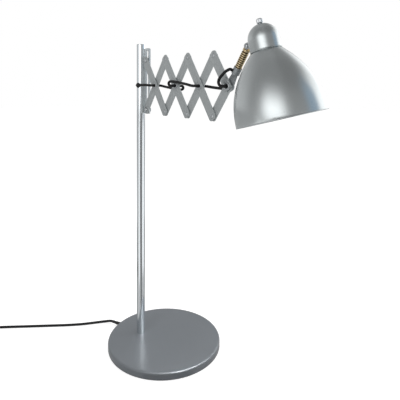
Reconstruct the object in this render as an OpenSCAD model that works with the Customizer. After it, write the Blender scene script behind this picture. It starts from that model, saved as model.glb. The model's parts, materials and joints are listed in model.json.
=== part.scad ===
// Desk lamp with an accordion arm (lazy tongs) on an upright pole. All sizes in millimetres.
// Origin: centre of the round base on the desk. +Z is up, and the arm reaches out along +X.
// The arm is drawn half open, as it stands in use, with the shade tipped forward.

/* [Base] */
// Diameter of the round base
base_d = 220; // [190:1:250]
// Height of the base's top above the desk
base_h = 14.5; // [14:0.5:20]
// Radius of the rounded top edge of the base
base_edge_r = 3.5; // [1:0.5:6]
// Wall of the sheet-metal cover
cover_wall = 1.5; // [1:0.1:2]
// Height of the cover's lower edge above the desk
cover_lift = 1; // [0.5:0.1:1.5]
// Thickness of the foam pad under the base
pad_t = 2; // [1.6:0.1:3]
// Distance from the weight's side to the inside of the cover
weight_play = 0.5; // [0.2:0.1:2]

/* [Pole] */
// Outer diameter of the pole
pole_d = 16; // [14:0.5:17]
// Wall of the pole
pole_wall = 1.2; // [0.8:0.1:1.8]
// Height of the pole's top above the desk
pole_top = 587; // [480:1:680]
// Distance from the middle of the base to the pole
pole_offset = 51; // [30:1:70]
// Direction of the pole from the middle of the base, in degrees from +X
pole_azimuth = 215.7; // [200:0.1:230]
// Outer diameter of the hollow stud that holds the pole
stud_d = 9.9; // [9:0.1:10]
// Bore of the hollow stud, for the flex
stud_bore = 7; // [5.5:0.5:7.5]
// Thickness of the plug's rim on top of the pole
plug_rim_t = 1.2; // [0.8:0.1:3]

/* [Arm bracket] */
// Height from the arm's middle line to the pole's top
arm_drop = 76; // [72:1:100]
// Distance from the pole's axis to the first pivots
pivot_x = 18.5; // [18.2:0.1:22]
// Thickness of the bracket's plate
plate_t = 3; // [2.5:0.1:4]
// Width of the bracket's slot
slot_w = 8; // [7:0.1:9]
// Width of the plate outside the slot
rail_w = 4; // [3:0.1:6]
// Wall of the saddle that clasps the pole
saddle_t = 1.5; // [1:0.1:2]
// Half the angle that the saddle clasps
saddle_angle = 32; // [25:1:50]
// Height of the upper end of the slot above the arm's middle line
slot_top = 65; // [60:0.5:68]
// Depth of the lower end of the slot below the arm's middle line
slot_bottom = 25; // [10:0.5:28]
// Diameter of the bolt at the lower pivot
root_bolt_d = 5; // [4:0.1:6]
// Diameter of the pin that runs in the slot
slot_pin_d = 5; // [4:0.1:5.5]

/* [Accordion arm] */
// Distance between the end pivots of one bar
bar_l = 111.5; // [100:0.5:114]
// Angle of the bars from upright, as drawn
bar_angle = 35.8; // [30:0.1:42]
// Width of a bar
bar_w = 16; // [12:0.1:16.4]
// Thickness of a bar
bar_t = 1.5; // [1:0.1:2]
// Distance from an end pivot to the bar's end
bar_end = 6; // [5:0.1:6.4]
// Radius of a bar's corners
bar_corner_r = 5; // [4:0.1:5]
// Gap between the front and the back bars
bar_gap = 0.3; // [0.2:0.05:0.6]
// Diameter of the rivets at the end pivots
rivet_d = 4; // [3:0.1:5]
// Diameter of a rivet's head
rivet_head_d = 6.5; // [6:0.1:8]
// Height of a rivet's head
rivet_head_h = 1.1; // [0.6:0.1:1.6]
// Bore of the eyelets at the crossings, for the flex
eyelet_bore = 6.4; // [5.4:0.1:6.6]
// Outer diameter of the eyelets' barrel
eyelet_d = 8; // [7.4:0.1:8.6]
// Diameter of the eyelets' rim
eyelet_rim_d = 11; // [10:0.1:13]
// Thickness of the eyelets' rim
eyelet_rim_t = 0.7; // [0.4:0.1:1.2]

/* [Head fork and stem] */
// Angle of the brass stem from upright, as drawn
stem_lean = 34; // [28:0.5:42]
// Thickness of the fork's tongue
tongue_t = 2.5; // [2:0.1:3]
// Radius of the tongue's round end
tongue_r = 8; // [7.4:0.1:9]
// Outer diameter of the fork's collar
collar_d = 12; // [11.6:0.1:14]
// Distance from the tip pivot to the collar
collar_from = 21.5; // [19:0.5:23]
// Length of the collar
collar_l = 10.5; // [10:0.5:12]
// Distance from the tip pivot to the end of the brass stem
stem_end = 58.5; // [52:0.5:66]
// Diameter of the brass stem inside its collar
stem_d = 10; // [9.4:0.1:10.4]
// Diameter over the stem's ribs
stem_rib_d = 10.4; // [10:0.1:11]
// Distance from one rib of the stem to the next
stem_rib_pitch = 3; // [2:0.1:4]
// Bore of the stem
stem_bore = 6.4; // [5.4:0.1:7]
// Turn of the head about the stem, as drawn
head_turn = 9; // [0:1:30]

/* [Knuckle] */
// Height of the turning barrel on top of the stem
barrel_h = 2.4; // [2:0.1:4]
// Distance from the barrel's top to the knuckle's screw
knuckle_rise = 5; // [4.9:0.1:7]
// Radius of the knuckle's eye
eye_r = 4; // [3:0.1:4.2]
// Thickness of the knuckle's eye
eye_t = 4; // [3:0.1:5]
// Radius of the ears on the lug
ear_r = 4.4; // [3.6:0.1:4.6]
// Thickness of each ear
ear_t = 2.3; // [1.6:0.1:3]
// Diameter of the knuckle's screw
knuckle_screw_d = 3; // [2.5:0.1:3.5]
// Angle from the stem to the shade's axis, as drawn
shade_tilt = 48; // [40:1:56]

/* [Shade] */
// Diameter of the shade's mouth
mouth_d = 122; // [110:1:136]
// Height of the bell from its mouth to the neck
bell_h = 92; // [84:1:100]
// Power of the bell's curve: higher is fuller
bell_power = 2.3; // [2:0.05:2.8]
// Diameter of the neck, where the cap sits
neck_d = 42; // [41:0.5:44]
// Wall of the bell
bell_wall = 1; // [0.8:0.1:1.4]
// Height of the neck's collar inside the cap
neck_collar_h = 5.5; // [4:0.5:8]
// Wall of the cap
cap_wall = 1.2; // [1:0.1:1.6]
// Height of the cap's straight side
cap_side_h = 15.5; // [12:0.5:20]
// Diameter of the switch knob
knob_d = 8.6; // [7.6:0.1:12]
// Height of the switch knob
knob_h = 6.4; // [5:0.1:10]
// Diameter of the switch spindle
spindle_d = 4; // [3:0.1:5]

/* [Lamp holder and bulb] */
// Height of the holder's mouth above the shade's mouth
holder_from = 70; // [66:1:74]
// Length of the holder's straight body
holder_l = 26; // [25:0.5:28]
// Diameter of the bulb's metal cap
bulb_cap_d = 26.2; // [25:0.1:27]
// Diameter of the bulb's globe
globe_d = 45; // [40:1:50]
// Thickness of the ring that clamps the bell to the holder
clamp_ring_h = 6; // [4:0.5:8]

/* [Flex and mains cord] */
// Diameter of the flex along the arm
flex_d = 4.4; // [3.6:0.1:4.8]
// Diameter of the mains cord
cord_d = 5; // [4.4:0.1:5.2]
// Direction in which the cord leaves the base, in degrees from +X
cord_exit_azimuth = 203; // [203:1:203]
// Length of the tapered guard on the cord
guard_l = 22; // [22:1:22]
// Height of the cord's exit above the desk
cord_exit_h = 6.8; // [6.4:0.1:7.2]
// Turns in the wound coil of spare cord
coil_turns = 7.33; // [5.33:1:7.33]
// Radius of the coil's outer turn
coil_outer_r = 40; // [40:1:40]
// Radius of the coil's inner turn
coil_inner_r = 20; // [19:0.5:20]

/* [Hidden] */

run = 0.05;       // running fit between a pin and its hole, all round
seat = 0.05;      // gap where one curved piece sits on another
round_fn = 64;    // facets of the round pieces, as drawn
small_fn = 40;
tau = 360;

pole_x = pole_offset * cos(pole_azimuth);
pole_y = pole_offset * sin(pole_azimuth);
pole_r = pole_d / 2;
pole_bore = pole_d - 2 * pole_wall;
mid_z = pole_top - arm_drop;

// The bars stand in two layers, front (-Y) and back (+Y) of the pole's own plane.
cell_w = bar_l * sin(bar_angle);
cell_h = bar_l * cos(bar_angle);
cells = 3;
stack = bar_gap / 2 + bar_t;
plate_y = stack + bar_gap;
rim_y = stack + run + eyelet_rim_t;
tip_x = pivot_x + (cells + 0.5) * cell_w;
function joint_x(i) = pivot_x + i * cell_w;
function crossing_x(i) = pivot_x + (i - 0.5) * cell_w;

// The tongue of the head's fork lies behind the back bars, and the stem stands in its plane.
tongue_y = stack + bar_gap;
stem_y = tongue_y + tongue_t / 2;
nut_y = tongue_y + tongue_t + run;
tip_nut_t = 3;
knuckle_s = stem_end + barrel_h + run + knuckle_rise;

mouth_r = mouth_d / 2;
neck_r = neck_d / 2;
cap_from = bell_h + 0.3;
dome_from = cap_from + cap_side_h;
knuckle_h = dome_from - 0.8;
cap_top = dome_from + neck_r;
lug_gap = 5.5;
cap_axis = neck_r + lug_gap;

function arc(cx, cy, r, a0, a1, n) =
  [for (i = [0 : n]) let (a = a0 + (a1 - a0) * i / n) [cx + r * cos(a), cy + r * sin(a)]];

// ---------------------------------------------------------------- placing
module at_pole() translate([pole_x, pole_y, 0]) children();
module at_arm() translate([pole_x, pole_y, mid_z]) children();

// A profile drawn as [radius, y] turned about an axis along Y through x, z of the arm.
module turned_y(x, z, fn = small_fn)
  translate([x, 0, z]) rotate([-90, 0, 0]) rotate_extrude($fn = fn) children();

// A flat outline drawn in the arm's plane and given the thickness t from y on.
module flat(x, z, angle, y, t)
  translate([x, y + t, z]) rotate([90, 0, 0]) rotate([0, 0, angle]) linear_extrude(t) children();

module along_stem() at_arm() translate([tip_x, stem_y, 0]) rotate([0, stem_lean, 0]) children();
module at_knuckle() along_stem() translate([0, 0, knuckle_s]) rotate([0, 0, head_turn]) children();
module in_shade()
  at_knuckle() rotate([0, -shade_tilt, 0]) translate([cap_axis, 0, -knuckle_h]) children();

// ---------------------------------------------------------------- base
weight_top = base_h - cover_wall;
pocket_d = 30;
pocket_top = pad_t + 6.5;
washer_t = 1.6;
foot_nut_t = 4.4;
exit_r = base_d / 2;

// Line from the pole to the place where the cord leaves the base.
exit_pt = [exit_r * cos(cord_exit_azimuth), exit_r * sin(cord_exit_azimuth)];
channel_dir = atan2(exit_pt[1] - pole_y, exit_pt[0] - pole_x);
channel_l = norm([exit_pt[0] - pole_x, exit_pt[1] - pole_y]);

inner_edge_r = max(base_edge_r - cover_wall, 0.1);

module base_cover() color("#7c8183") difference() {
  rotate_extrude($fn = 128) polygon(concat(
    [[0, base_h]],
    arc(exit_r - base_edge_r, base_h - base_edge_r, base_edge_r, 90, 0, 8),
    [[exit_r, cover_lift], [exit_r - cover_wall, cover_lift]],
    arc(exit_r - cover_wall - inner_edge_r, weight_top - inner_edge_r, inner_edge_r, 0, 90, 4),
    [[0, weight_top]]));
  at_pole() translate([0, 0, weight_top - 1])
    cylinder(h = cover_wall + 2, d = stud_d + 4 * run, $fn = round_fn);
  rotate([0, 0, cord_exit_azimuth]) translate([exit_r - 4, 0, cord_exit_h])
    rotate([0, 90, 0]) cylinder(h = 8, d = cord_d + 2, $fn = small_fn);
}

module base_weight() color("#3d4042") difference() {
  rotate_extrude($fn = 128) polygon([
    [0, pad_t], [exit_r - cover_wall - weight_play - 1, pad_t],
    [exit_r - cover_wall - weight_play, pad_t + 1],
    [exit_r - cover_wall - weight_play, weight_top - base_edge_r - 1],
    [exit_r - base_edge_r - cover_wall - 1.5, weight_top - run], [0, weight_top - run]]);
  at_pole() {
    translate([0, 0, pad_t - 1]) cylinder(h = base_h, d = stud_d + 6 * run, $fn = round_fn);
    translate([0, 0, pad_t - 1]) cylinder(h = pocket_top - pad_t + 1, d = pocket_d, $fn = round_fn);
    rotate([0, 0, channel_dir]) translate([0, -(cord_d + 2) / 2, pad_t - 1])
      cube([channel_l + 5, cord_d + 2, cord_exit_h + cord_d / 2 + 1 - pad_t + 1]);
  }
  rotate([0, 0, cord_exit_azimuth]) translate([exit_r - cover_wall - 4, 0, cord_exit_h])
    rotate([0, 90, 0]) cylinder(h = 8, r = guard_flange_r + 0.4, $fn = small_fn);
}

module base_pad() color("#1d1e1f")
  cylinder(h = pad_t, d = base_d - 14, $fn = 96);

guard_flange_r = cord_d / 2 + 1.6;
// Moulded guard: a neck in the cover's hole, a flange, and a ribbed taper that ends at the cord.
module cord_guard() color("#17181a")
  rotate([0, 0, cord_exit_azimuth]) translate([exit_r, 0, cord_exit_h]) rotate([0, 90, 0])
    rotate_extrude($fn = small_fn) polygon(concat(
      [[0, -cover_wall - 2], [guard_flange_r, -cover_wall - 2], [guard_flange_r, -cover_wall - 0.4],
       [cord_d / 2 + 0.95, -cover_wall - 0.4], [cord_d / 2 + 0.95, 0.5],
       [cord_d / 2 + 1.5, 0.5], [cord_d / 2 + 1.5, 2.5]],
      [for (i = [0 : 3]) for (p = [[0, 3.5], [0.55, 4], [0.55, 6], [0, 6.5]])
        [cord_d / 2 + 1.4 - 0.28 * i - p[0], p[1] + 4 * i]],
      [[cord_d / 2 + 0.25, guard_l], [0, guard_l]]));

// ---------------------------------------------------------------- swept tubes
function unit(v) = v / norm(v);
function spline_at(a, b, c, d, t) =
  0.5 * (2 * b + (c - a) * t + (2 * a - 5 * b + 4 * c - d) * t * t
         + (3 * b - a - 3 * c + d) * t * t * t);
// Smooth curve through the points p, with n steps between one point and the next.
function smooth(p, n) = let (m = len(p) - 1) concat(
  [for (i = [0 : m - 1]) for (k = [0 : n - 1])
    spline_at(i > 0 ? p[i - 1] : 2 * p[0] - p[1], p[i], p[i + 1],
              i < m - 1 ? p[i + 2] : 2 * p[m] - p[m - 1], k / n)],
  [p[m]]);
function heading(p, i) =
  i == 0 ? unit(p[1] - p[0]) : i == len(p) - 1 ? unit(p[i] - p[i - 1]) : unit(p[i + 1] - p[i - 1]);
// Side vectors carried along the path, so that the tube doesn't twist.
function carried(p, side, i = 0) = i == len(p) ? [] :
  let (h = heading(p, i), s = unit(side - (side * h) * h)) concat([s], carried(p, s, i + 1));

module tube(p, d, sides, side0, first = undef, last = undef) {
  h = [for (i = [0 : len(p) - 1])
    i == 0 && first != undef ? unit(first) :
    i == len(p) - 1 && last != undef ? unit(last) : heading(p, i)];
  s0 = carried(p, side0);
  s = [for (i = [0 : len(p) - 1]) unit(s0[i] - (s0[i] * h[i]) * h[i])];
  n = len(p);
  pts = [for (i = [0 : n - 1]) let (u = cross(h[i], s[i])) for (k = [0 : sides - 1])
    p[i] + d / 2 * (cos(tau * k / sides) * s[i] + sin(tau * k / sides) * u)];
  sides_faces = [for (i = [0 : n - 2]) for (k = [0 : sides - 1]) let (j = (k + 1) % sides)
    each [[i * sides + k, (i + 1) * sides + k, (i + 1) * sides + j],
          [i * sides + k, (i + 1) * sides + j, i * sides + j]]];
  polyhedron(pts, concat([[for (k = [0 : sides - 1]) k]], sides_faces,
                         [[for (k = [sides - 1 : -1 : 0]) (n - 1) * sides + k]]));
}

// ---------------------------------------------------------------- mains cord
floor_z = cord_d / 2;
coil_c = [-232, -299];
coil_start = 150;
coil_z = floor_z + 0.9;
coil_step = 5.5;
coil_half = coil_turns / 2;
coil_rings = 24;

cord_route = [
  [-121.51, -51.58, 6.8], [-127, -54, 6.2], [-132.5, -57.5, 4.8], [-138, -63.5, 3.3],
  [-143.5, -73, 2.6], [-149.5, -87, 2.5], [-156.5, -103, 2.5], [-165, -119, 2.5],
  [-175, -136, 2.5], [-186, -153, 2.5], [-199, -173, 2.5], [-212, -193, 2.5],
  [-225, -213, 2.5], [-237.5, -232, 2.5], [-248.5, -249.5, 2.6], [-257.5, -264.5, 3.1],
  [-264.1, -274.67, 3.4], [-266.64, -279, 3.4]];

function coil_r(t) = coil_outer_r
  - (coil_outer_r - coil_inner_r) * (1 - abs(t - coil_half) / coil_half);
function coil_lift(t) = coil_step * max(0, min(1, (t - coil_half) * 2 + 0.5));
function coil_at(t) = let (a = coil_start + tau * t)
  [coil_c[0] + coil_r(t) * cos(a), coil_c[1] + coil_r(t) * sin(a), coil_z + coil_lift(t)];
coil_n = ceil(coil_turns * coil_rings);
coil_body = [for (i = [0 : coil_n]) coil_at(i * coil_turns / coil_n)];
coil_end_dir = unit([-sin(coil_start + tau * coil_turns), cos(coil_start + tau * coil_turns), 0]);
coil_path = concat(coil_body, [coil_body[coil_n] + cord_d * coil_end_dir]);

// Least gap between turns of the coil, from one turn to the next and from layer to layer.
function coil_gap(n = coil_n) = min([for (i = [0 : n]) for (j = [i + coil_rings - 4 : n])
  norm(coil_body[i] - coil_body[j])]) - cord_d;
echo(coil_gap = coil_gap());

tail_l = 16;
plug_t = 13;
tail_start = coil_path[coil_n + 1];
plug_from = [tail_start[0] + tail_l, tail_start[1] - 0.2, plug_t / 2];
tail_route = [tail_start, tail_start + [5, -0.1, -0.4], plug_from - [5, 0, -0.4], plug_from];

module mains_cord() color("#17181a") {
  tube(smooth(cord_route, 3), cord_d, 8, [0, 0, 1],
       first = [cos(cord_exit_azimuth), sin(cord_exit_azimuth), 0],
       last = [-sin(coil_start), cos(coil_start), 0]);
  tube(smooth(tail_route, 2), cord_d, 8, [0, 0, 1], first = coil_end_dir, last = [1, 0, 0]);
}

module cord_coil() color("#17181a")
  tube(coil_path, cord_d, 6, [0, 0, 1],
       first = [-sin(coil_start), cos(coil_start), 0], last = coil_end_dir);

// Strap round the bundle of turns, on the side away from the cord's ends.
tie_angle = 35;
tie_w = 6;
tie_wall = 0.8;
tie_in = coil_inner_r - cord_d / 2 - 0.5;
tie_out = coil_outer_r + cord_d / 2 + 0.5;
tie_h = coil_z + coil_step + cord_d / 2 + 0.4;
module tie_ring(grow) translate([tie_in - grow, -grow]) square([tie_out - tie_in + 2 * grow,
                                                                 tie_h - tie_wall + 2 * grow]);
module cord_tie() color("#2a2b2d")
  translate([coil_c[0], coil_c[1], tie_wall]) rotate([0, 0, tie_angle])
    translate([0, tie_w / 2, 0]) rotate([90, 0, 0]) linear_extrude(tie_w)
      difference() { tie_ring(tie_wall); tie_ring(0); }

// ---------------------------------------------------------------- plug
plug_l = 33;
plug_w = 24;
plug_guard_l = 14;
pin_gap = 18.5;
pin_d = 4;
pin_l = 19;
module plug_slice(x, w, t, r) translate([x, 0, 0]) rotate([0, 90, 0]) linear_extrude(0.5)
  offset(r = r, $fn = 24) square([t - 2 * r, w - 2 * r], center = true);
module plug_body() color("#17181a") translate(plug_from) {
  rotate([0, 90, 0]) rotate_extrude($fn = small_fn) polygon(concat(
    [[0, 0], [cord_d / 2 + 0.3, 0]],
    [for (i = [0 : 2]) for (p = [[0, 1], [0.6, 1.5], [0.6, 3], [0, 3.5]])
      [cord_d / 2 + 0.9 + 0.35 * i - p[0], p[1] + 3.6 * i]],
    [[cord_d / 2 + 1.9, plug_guard_l], [0, plug_guard_l]]));
  hull() {
    plug_slice(plug_guard_l, 10, 9.6, 4);
    plug_slice(plug_guard_l + 8, 17, plug_t - 0.6, 5);
  }
  hull() {
    plug_slice(plug_guard_l + 8, 17, plug_t - 0.6, 5);
    plug_slice(plug_guard_l + 18, plug_w, plug_t, 4);
    plug_slice(plug_guard_l + plug_l - 0.5, plug_w, plug_t, 4);
  }
}
module plug_pins() color("#c9ccce") translate(plug_from) for (s = [-1, 1])
  translate([plug_guard_l + plug_l, s * pin_gap / 2, 0]) rotate([0, 90, 0]) union() {
    cylinder(h = pin_l - pin_d / 2, d = pin_d, $fn = small_fn);
    translate([0, 0, pin_l - pin_d / 2]) sphere(d = pin_d, $fn = small_fn);
  }

// ---------------------------------------------------------------- pole
grommet_dir = -68;
grommet_hole = flex_d + 3.6;
grommet_rim_d = grommet_hole + 1.4;
module radial(azimuth) rotate([0, 0, azimuth]) rotate([0, 90, 0]) children();

module pole_tube() color("#c4c8ca") at_pole() difference() {
  translate([0, 0, base_h]) cylinder(h = pole_top - plug_rim_t - base_h, d = pole_d, $fn = round_fn);
  translate([0, 0, base_h - 1]) cylinder(h = pole_top, d = pole_bore, $fn = round_fn);
  translate([0, 0, mid_z]) radial(grommet_dir) cylinder(h = pole_d, d = grommet_hole, $fn = small_fn);
}

insert_l = 20;
module foot_insert() color("#8d9193") at_pole() translate([0, 0, base_h]) difference() {
  cylinder(h = insert_l, d = pole_bore - 2 * seat, $fn = round_fn);
  translate([0, 0, -1]) cylinder(h = insert_l + 2, d = stud_d + 2 * seat, $fn = round_fn);
}
stud_from = pocket_top - washer_t - foot_nut_t - 0.3;
module foot_stud() color("#b9a06a") at_pole() difference() {
  translate([0, 0, stud_from]) cylinder(h = base_h + insert_l - 2 - stud_from, d = stud_d, $fn = round_fn);
  translate([0, 0, stud_from - 1]) cylinder(h = 60, d = stud_bore, $fn = round_fn);
}
module foot_washer() color("#9a9ea0") at_pole() translate([0, 0, pocket_top - washer_t]) difference() {
  cylinder(h = washer_t, d = pocket_d - 4, $fn = round_fn);
  translate([0, 0, -1]) cylinder(h = washer_t + 2, d = stud_d + 4 * run, $fn = round_fn);
}
module foot_nut() color("#9a9ea0") at_pole()
  translate([0, 0, pocket_top - washer_t - foot_nut_t]) difference() {
    cylinder(h = foot_nut_t, d = 17 / cos(30), $fn = 6);
    translate([0, 0, -1]) cylinder(h = foot_nut_t + 2, d = stud_d + 2 * seat, $fn = round_fn);
  }
module pole_plug() color("#a9adaf") at_pole() translate([0, 0, pole_top - plug_rim_t])
  rotate_extrude($fn = round_fn) polygon([
    [0, -10], [pole_bore / 2 - 0.6, -10], [pole_bore / 2 - seat, -9], [pole_bore / 2 - seat, 0],
    [pole_r, 0], [pole_r, plug_rim_t * 0.6], [pole_r - 0.5, plug_rim_t], [0, plug_rim_t]]);

// Rubber grommet in the pole's side: a barrel through the wall and a rim that follows the pole.
module pole_grommet() color("#1a1b1d") at_pole() translate([0, 0, mid_z]) difference() {
  union() {
    radial(grommet_dir) translate([0, 0, pole_r - pole_wall - 0.4])
      cylinder(h = pole_wall + 0.9, d = grommet_hole - 2 * seat, $fn = small_fn);
    difference() {
      radial(grommet_dir) translate([0, 0, pole_r - 1.2])
        cylinder(h = 2.2, d = grommet_rim_d, $fn = small_fn);
      translate([0, 0, -10]) cylinder(h = 20, r = pole_r + seat, $fn = round_fn);
    }
  }
  radial(grommet_dir) cylinder(h = pole_d, d = flex_d + 2 * run, $fn = small_fn);
}

// ---------------------------------------------------------------- arm bracket
plate_x = pivot_x + slot_w / 2 + rail_w;
plate_low = cell_h / 2 + bar_end + 1.3;
plate_high = slot_top + rail_w * 0.7;
saddle_high = cell_h / 2 + bar_end + 2.3;

module plate_outline() difference() {
  union() {
    translate([pole_r, -plate_low]) square([plate_x - pole_r - 3, plate_low + plate_high]);
    translate([pole_r, -plate_low + 3]) square([plate_x - pole_r, plate_low + plate_high - 6]);
    for (z = [-plate_low + 3, plate_high - 3]) translate([plate_x - 3, z]) circle(r = 3, $fn = small_fn);
  }
  for (z = [-slot_bottom + slot_w / 2, slot_top - slot_w / 2])
    translate([pivot_x, z]) circle(d = slot_w, $fn = small_fn);
  translate([pivot_x - slot_w / 2, -slot_bottom + slot_w / 2])
    square([slot_w, slot_top + slot_bottom - slot_w]);
  translate([pivot_x, -cell_h / 2]) circle(d = root_bolt_d + 2 * run, $fn = small_fn);
}

// Slotted plate on a saddle that is welded to the pole.
module arm_bracket() color("#8f9496") at_arm() {
  difference() {
    flat(0, 0, 0, plate_y, plate_t) plate_outline();
    translate([0, 0, -plate_low - 1]) cylinder(h = plate_low + plate_high + 2, r = pole_r + seat, $fn = round_fn);
  }
  difference() {
    translate([0, 0, -plate_low]) linear_extrude(plate_low + saddle_high) difference() {
      circle(r = pole_r + saddle_t, $fn = round_fn);
      circle(r = pole_r + seat, $fn = round_fn);
      polygon([[0, 0], 40 * [cos(saddle_angle), sin(saddle_angle)], [-40, 40], [-40, -40],
               40 * [cos(saddle_angle), -sin(saddle_angle)]]);
    }
    radial(grommet_dir) cylinder(h = 2 * pole_d, d = grommet_rim_d + 0.6, $fn = small_fn);
  }
}

root_head_d = 9;
root_head_h = 2.8;
root_nut_t = 4;
module root_bolt() color("#cfd3d5") at_arm() turned_y(pivot_x, -cell_h / 2)
  polygon([
    [0, -root_head_h], [root_head_d * 0.2, -root_head_h], [root_head_d * 0.38, -root_head_h * 0.75],
    [root_head_d * 0.48, -root_head_h * 0.35], [root_head_d / 2, bar_gap / 2 - run],
    [root_bolt_d / 2, bar_gap / 2 - run], [root_bolt_d / 2, plate_y + plate_t + root_nut_t + 0.4],
    [root_bolt_d / 2 - 0.5, plate_y + plate_t + root_nut_t + 0.9],
    [0, plate_y + plate_t + root_nut_t + 0.9]]);
module nut_y_axis(x, z, y, t, flats, bore) translate([x, y, z]) rotate([-90, 0, 0]) difference() {
  cylinder(h = t, d = flats / cos(30), $fn = 6);
  translate([0, 0, -1]) cylinder(h = t + 2, d = bore, $fn = small_fn);
}
module root_nut() color("#a4a8aa") at_arm()
  nut_y_axis(pivot_x, -cell_h / 2, plate_y + plate_t, root_nut_t, root_bolt_d * 1.6, root_bolt_d + 2 * run);

// ---------------------------------------------------------------- bars of the accordion
module bar_outline(l) {
  translate([-bar_end + bar_corner_r, -bar_w / 2]) square([l + 2 * (bar_end - bar_corner_r), bar_w]);
  translate([-bar_end, -bar_w / 2 + bar_corner_r]) square([l + 2 * bar_end, bar_w - 2 * bar_corner_r]);
  for (x = [-bar_end + bar_corner_r, l + bar_end - bar_corner_r])
    for (s = [-1, 1]) translate([x, s * (bar_w / 2 - bar_corner_r)]) circle(r = bar_corner_r, $fn = small_fn);
}
rivet_hole = rivet_d + 2 * run;
eyelet_hole = eyelet_d + 2 * run;
// Holes are given as [distance along the bar, diameter].
module bar(l, holes) difference() {
  bar_outline(l);
  for (h = holes) translate([h[0], 0]) circle(d = h[1], $fn = small_fn);
}
function full_holes(first) = [[0, first], [bar_l / 2, eyelet_hole], [bar_l, rivet_hole]];
half_holes = [[0, rivet_hole], [bar_l / 2, eyelet_hole]];

// Front bars come down to the right from the upper pivots, and back bars rise from the lower ones.
module front_bar(i, l, holes) color("#929697") at_arm()
  flat(joint_x(i), cell_h / 2, bar_angle - 90, -stack, bar_t) bar(l, holes);
module back_bar(i, l, holes) color("#8b8f91") at_arm()
  flat(joint_x(i), -cell_h / 2, 90 - bar_angle, bar_gap / 2, bar_t) bar(l, holes);

module arm_a0() front_bar(0, bar_l, full_holes(slot_pin_d + 2 * run));
module arm_a1() front_bar(1, bar_l, full_holes(rivet_hole));
module arm_a2() front_bar(2, bar_l, full_holes(rivet_hole));
module arm_a3() front_bar(3, bar_l / 2, half_holes);
module arm_b0() back_bar(0, bar_l, full_holes(root_bolt_d + 2 * run));
module arm_b1() back_bar(1, bar_l, full_holes(rivet_hole));
module arm_b2() back_bar(2, bar_l, full_holes(rivet_hole));
module arm_b3() back_bar(3, bar_l / 2, half_holes);

module rivet(i, z) color("#b9bdbf") at_arm() turned_y(joint_x(i), z) polygon([
  [0, -stack - run - rivet_head_h], [rivet_head_d * 0.26, -stack - run - rivet_head_h],
  [rivet_head_d * 0.43, -stack - run - rivet_head_h * 0.6], [rivet_head_d / 2, -stack - run],
  [rivet_d / 2, -stack - run], [rivet_d / 2, stack + run],
  [rivet_head_d / 2, stack + run], [rivet_head_d * 0.43, stack + run + rivet_head_h * 0.6],
  [rivet_head_d * 0.26, stack + run + rivet_head_h], [0, stack + run + rivet_head_h]]);
module rivet_top_1() rivet(1, cell_h / 2);
module rivet_top_2() rivet(2, cell_h / 2);
module rivet_top_3() rivet(3, cell_h / 2);
module rivet_bottom_1() rivet(1, -cell_h / 2);
module rivet_bottom_2() rivet(2, -cell_h / 2);
module rivet_bottom_3() rivet(3, -cell_h / 2);

module eyelet(i) color("#a8acae") at_arm() turned_y(crossing_x(i), 0) polygon([
  [eyelet_bore / 2, -rim_y + 0.2], [eyelet_bore / 2 + 0.3, -rim_y], [eyelet_rim_d / 2 - 0.3, -rim_y],
  [eyelet_rim_d / 2, -stack - run], [eyelet_d / 2, -stack - run], [eyelet_d / 2, stack + run],
  [eyelet_rim_d / 2, stack + run], [eyelet_rim_d / 2 - 0.3, rim_y],
  [eyelet_bore / 2 + 0.3, rim_y], [eyelet_bore / 2, rim_y - 0.2]]);
module eyelet_1() eyelet(1);
module eyelet_2() eyelet(2);
module eyelet_3() eyelet(3);

// Pin at the top of the first front bar: it runs in the bracket's slot on a roller.
pin_head_d = 8.5;
pin_collar_d = slot_w + 2;
pin_tail_d = slot_w + 2.5;
module slot_pin() color("#c3c7c9") at_arm() turned_y(pivot_x, cell_h / 2) polygon([
  [0, -stack - run - 1.6], [pin_head_d * 0.28, -stack - run - 1.6],
  [pin_head_d * 0.44, -stack - run - 0.9], [pin_head_d / 2, -stack - run],
  [slot_pin_d / 2, -stack - run], [slot_pin_d / 2, -bar_gap / 2 + run],
  [pin_collar_d / 2, -bar_gap / 2 + run], [pin_collar_d / 2, plate_y - run],
  [slot_pin_d / 2, plate_y - run], [slot_pin_d / 2, plate_y + plate_t + run],
  [pin_tail_d / 2, plate_y + plate_t + run], [pin_tail_d / 2 - 0.4, plate_y + plate_t + 1.3],
  [0, plate_y + plate_t + 1.3]]);
module slot_roller() color("#e8e6df") at_arm() turned_y(pivot_x, cell_h / 2) polygon([
  [slot_pin_d / 2 + run, plate_y + run], [slot_w / 2 - 2 * run, plate_y + run],
  [slot_w / 2 - 2 * run, plate_y + plate_t - run], [slot_pin_d / 2 + run, plate_y + plate_t - run]]);

// ---------------------------------------------------------------- tip pivot
module tip_bolt() color("#b4b8ba") at_arm() turned_y(tip_x, 0) polygon([
  [eyelet_bore / 2, -rim_y - 0.3], [eyelet_bore / 2 + 0.4, -rim_y - 0.6],
  [eyelet_rim_d / 2, -rim_y - 0.6], [eyelet_rim_d / 2 + 0.5, -stack - run - 0.3],
  [eyelet_rim_d / 2 + 0.5, -stack - run], [eyelet_d / 2, -stack - run],
  [eyelet_d / 2, nut_y + tip_nut_t + 0.3], [eyelet_bore / 2, nut_y + tip_nut_t + 0.3]]);
module tip_nut() color("#a4a8aa") at_arm()
  nut_y_axis(tip_x, 0, nut_y, tip_nut_t, 13, eyelet_d + 2 * seat);

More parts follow.
